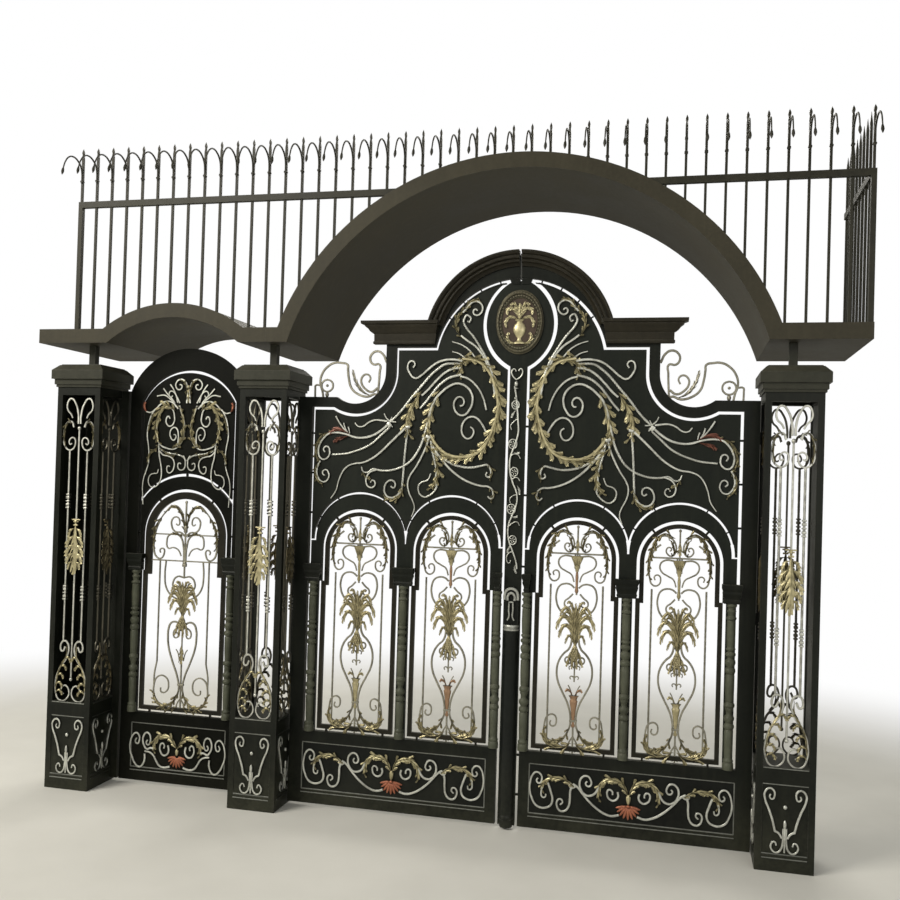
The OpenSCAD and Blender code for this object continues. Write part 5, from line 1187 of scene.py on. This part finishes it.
# Floor and backdrop, pale and plain
floorMat, ft, floorBsdf = newMaterial("floor")
floorCoord = addNode(ft, "ShaderNodeTexCoord")
grit = addNode(ft, "ShaderNodeTexNoise", {"Vector": (floorCoord, "Object"), "Scale": 2.5, "Detail": 5.0})
floorTone = mixColour(ft, (grit, "Fac"), rgb(0.6, 0.59, 0.55), rgb(0.7, 0.69, 0.65))
feed(ft, floorBsdf, {"Base Color": (floorTone, 2), "Roughness": 0.9})
nearGate = addNode(ft, "ShaderNodeMapping", {"Vector": (floorCoord, "Object"), "Location": (-0.9, 1.2, 0)})
reach = addNode(ft, "ShaderNodeVectorMath", {0: (nearGate, 0)}, operation="LENGTH")
floorPath = addNode(ft, "ShaderNodeLightPath")
far = addNode(ft, "ShaderNodeMapRange", {"Value": (reach, "Value"), "From Min": 4.2, "From Max": 7.5},
              interpolation_type="SMOOTHSTEP")
floorSeen = math2(ft, "MAXIMUM", (floorPath, "Is Camera Ray"), (floorPath, "Is Transmission Ray"))
fade = math2(ft, "MULTIPLY", (far, 0), (floorSeen, 0))
floorGlow = addNode(ft, "ShaderNodeEmission", {"Color": rgb(1, 1, 1), "Strength": 1.0})
floorMix = addNode(ft, "ShaderNodeMixShader", {0: (fade, 0), 1: (floorBsdf, 0), 2: (floorGlow, 0)})
feed(ft, [n for n in ft.nodes if n.type == "OUTPUT_MATERIAL"][0], {0: floorMix})
backMat = bpy.data.materials.new("backdrop")
backMat.use_nodes = True
bt = backMat.node_tree
bt.nodes.clear()
path = addNode(bt, "ShaderNodeLightPath")
seen = math2(bt, "MAXIMUM", (path, "Is Camera Ray"), (math2(bt, "MULTIPLY", (path, "Is Transmission Ray"), 1.0), 0))
glow = addNode(bt, "ShaderNodeEmission", {"Color": rgb(1, 1, 1), "Strength": 1.0})
matte = addNode(bt, "ShaderNodeBsdfDiffuse", {"Color": rgb(0.8, 0.8, 0.78)})
pick = addNode(bt, "ShaderNodeMixShader", {0: (seen, 0), 1: (matte, 0), 2: (glow, 0)})
addNode(bt, "ShaderNodeOutputMaterial", {0: pick})


def plane(name, size, place, turn, mat):
    bm = bmesh.new()
    bmesh.ops.create_grid(bm, x_segments=2, y_segments=2, size=0.5,
                          matrix=Matrix.Translation(place) @ turn @ Matrix.Diagonal((size[0], size[1], 1, 1)))
    me = asMesh(bm, name)
    me.materials.append(mat)
    obj = bpy.data.objects.new(name, me)
    scene.collection.objects.link(obj)


plane("floor", (60, 60), (1, 6, -0.001), Matrix.Identity(4), floorMat)
plane("backdrop", (80, 40), (1, 16, 12), Matrix.Rotation(math.radians(90), 4, "X"), backMat)

# Light: a soft sky, white to the camera, a broad key high on the left, a fill on the right, a rim light behind
world = bpy.data.worlds.new("studio")
scene.world = world
world.use_nodes = True
wt = world.node_tree
wt.nodes.clear()
sky = addNode(wt, "ShaderNodeBackground", {"Color": rgb(0.97, 0.965, 0.91), "Strength": 0.42})
white = addNode(wt, "ShaderNodeBackground", {"Color": rgb(1, 1, 1), "Strength": 1.0})
skyPath = addNode(wt, "ShaderNodeLightPath")
shown = addNode(wt, "ShaderNodeMixShader", {0: (skyPath, "Is Camera Ray"), 1: (sky, 0), 2: (white, 0)})
addNode(wt, "ShaderNodeOutputWorld", {0: shown})


def areaLight(name, place, aim, size, power, colour):
    lamp = bpy.data.lights.new(name, "AREA")
    lamp.shape = "RECTANGLE"
    lamp.size, lamp.size_y = size
    lamp.energy = power
    lamp.color = colour
    obj = bpy.data.objects.new(name, lamp)
    obj.location = place
    obj.rotation_euler = (Vector(aim) - Vector(place)).to_track_quat("-Z", "Y").to_euler()
    scene.collection.objects.link(obj)


areaLight("key", (-4.5, -6.0, 6.5), (0.8, 0, 1.6), (4, 3), 680, (1.0, 0.955, 0.86))
areaLight("fill", (6.0, -8.5, 3.5), (1.5, 0, 1.6), (4, 4), 130, (1.0, 0.98, 0.94))
areaLight("rim", (1.0, 6.0, 7.0), (1.0, 0, 2.2), (6, 2), 300, (1.0, 0.97, 0.9))

bpy.data.objects.remove(square)
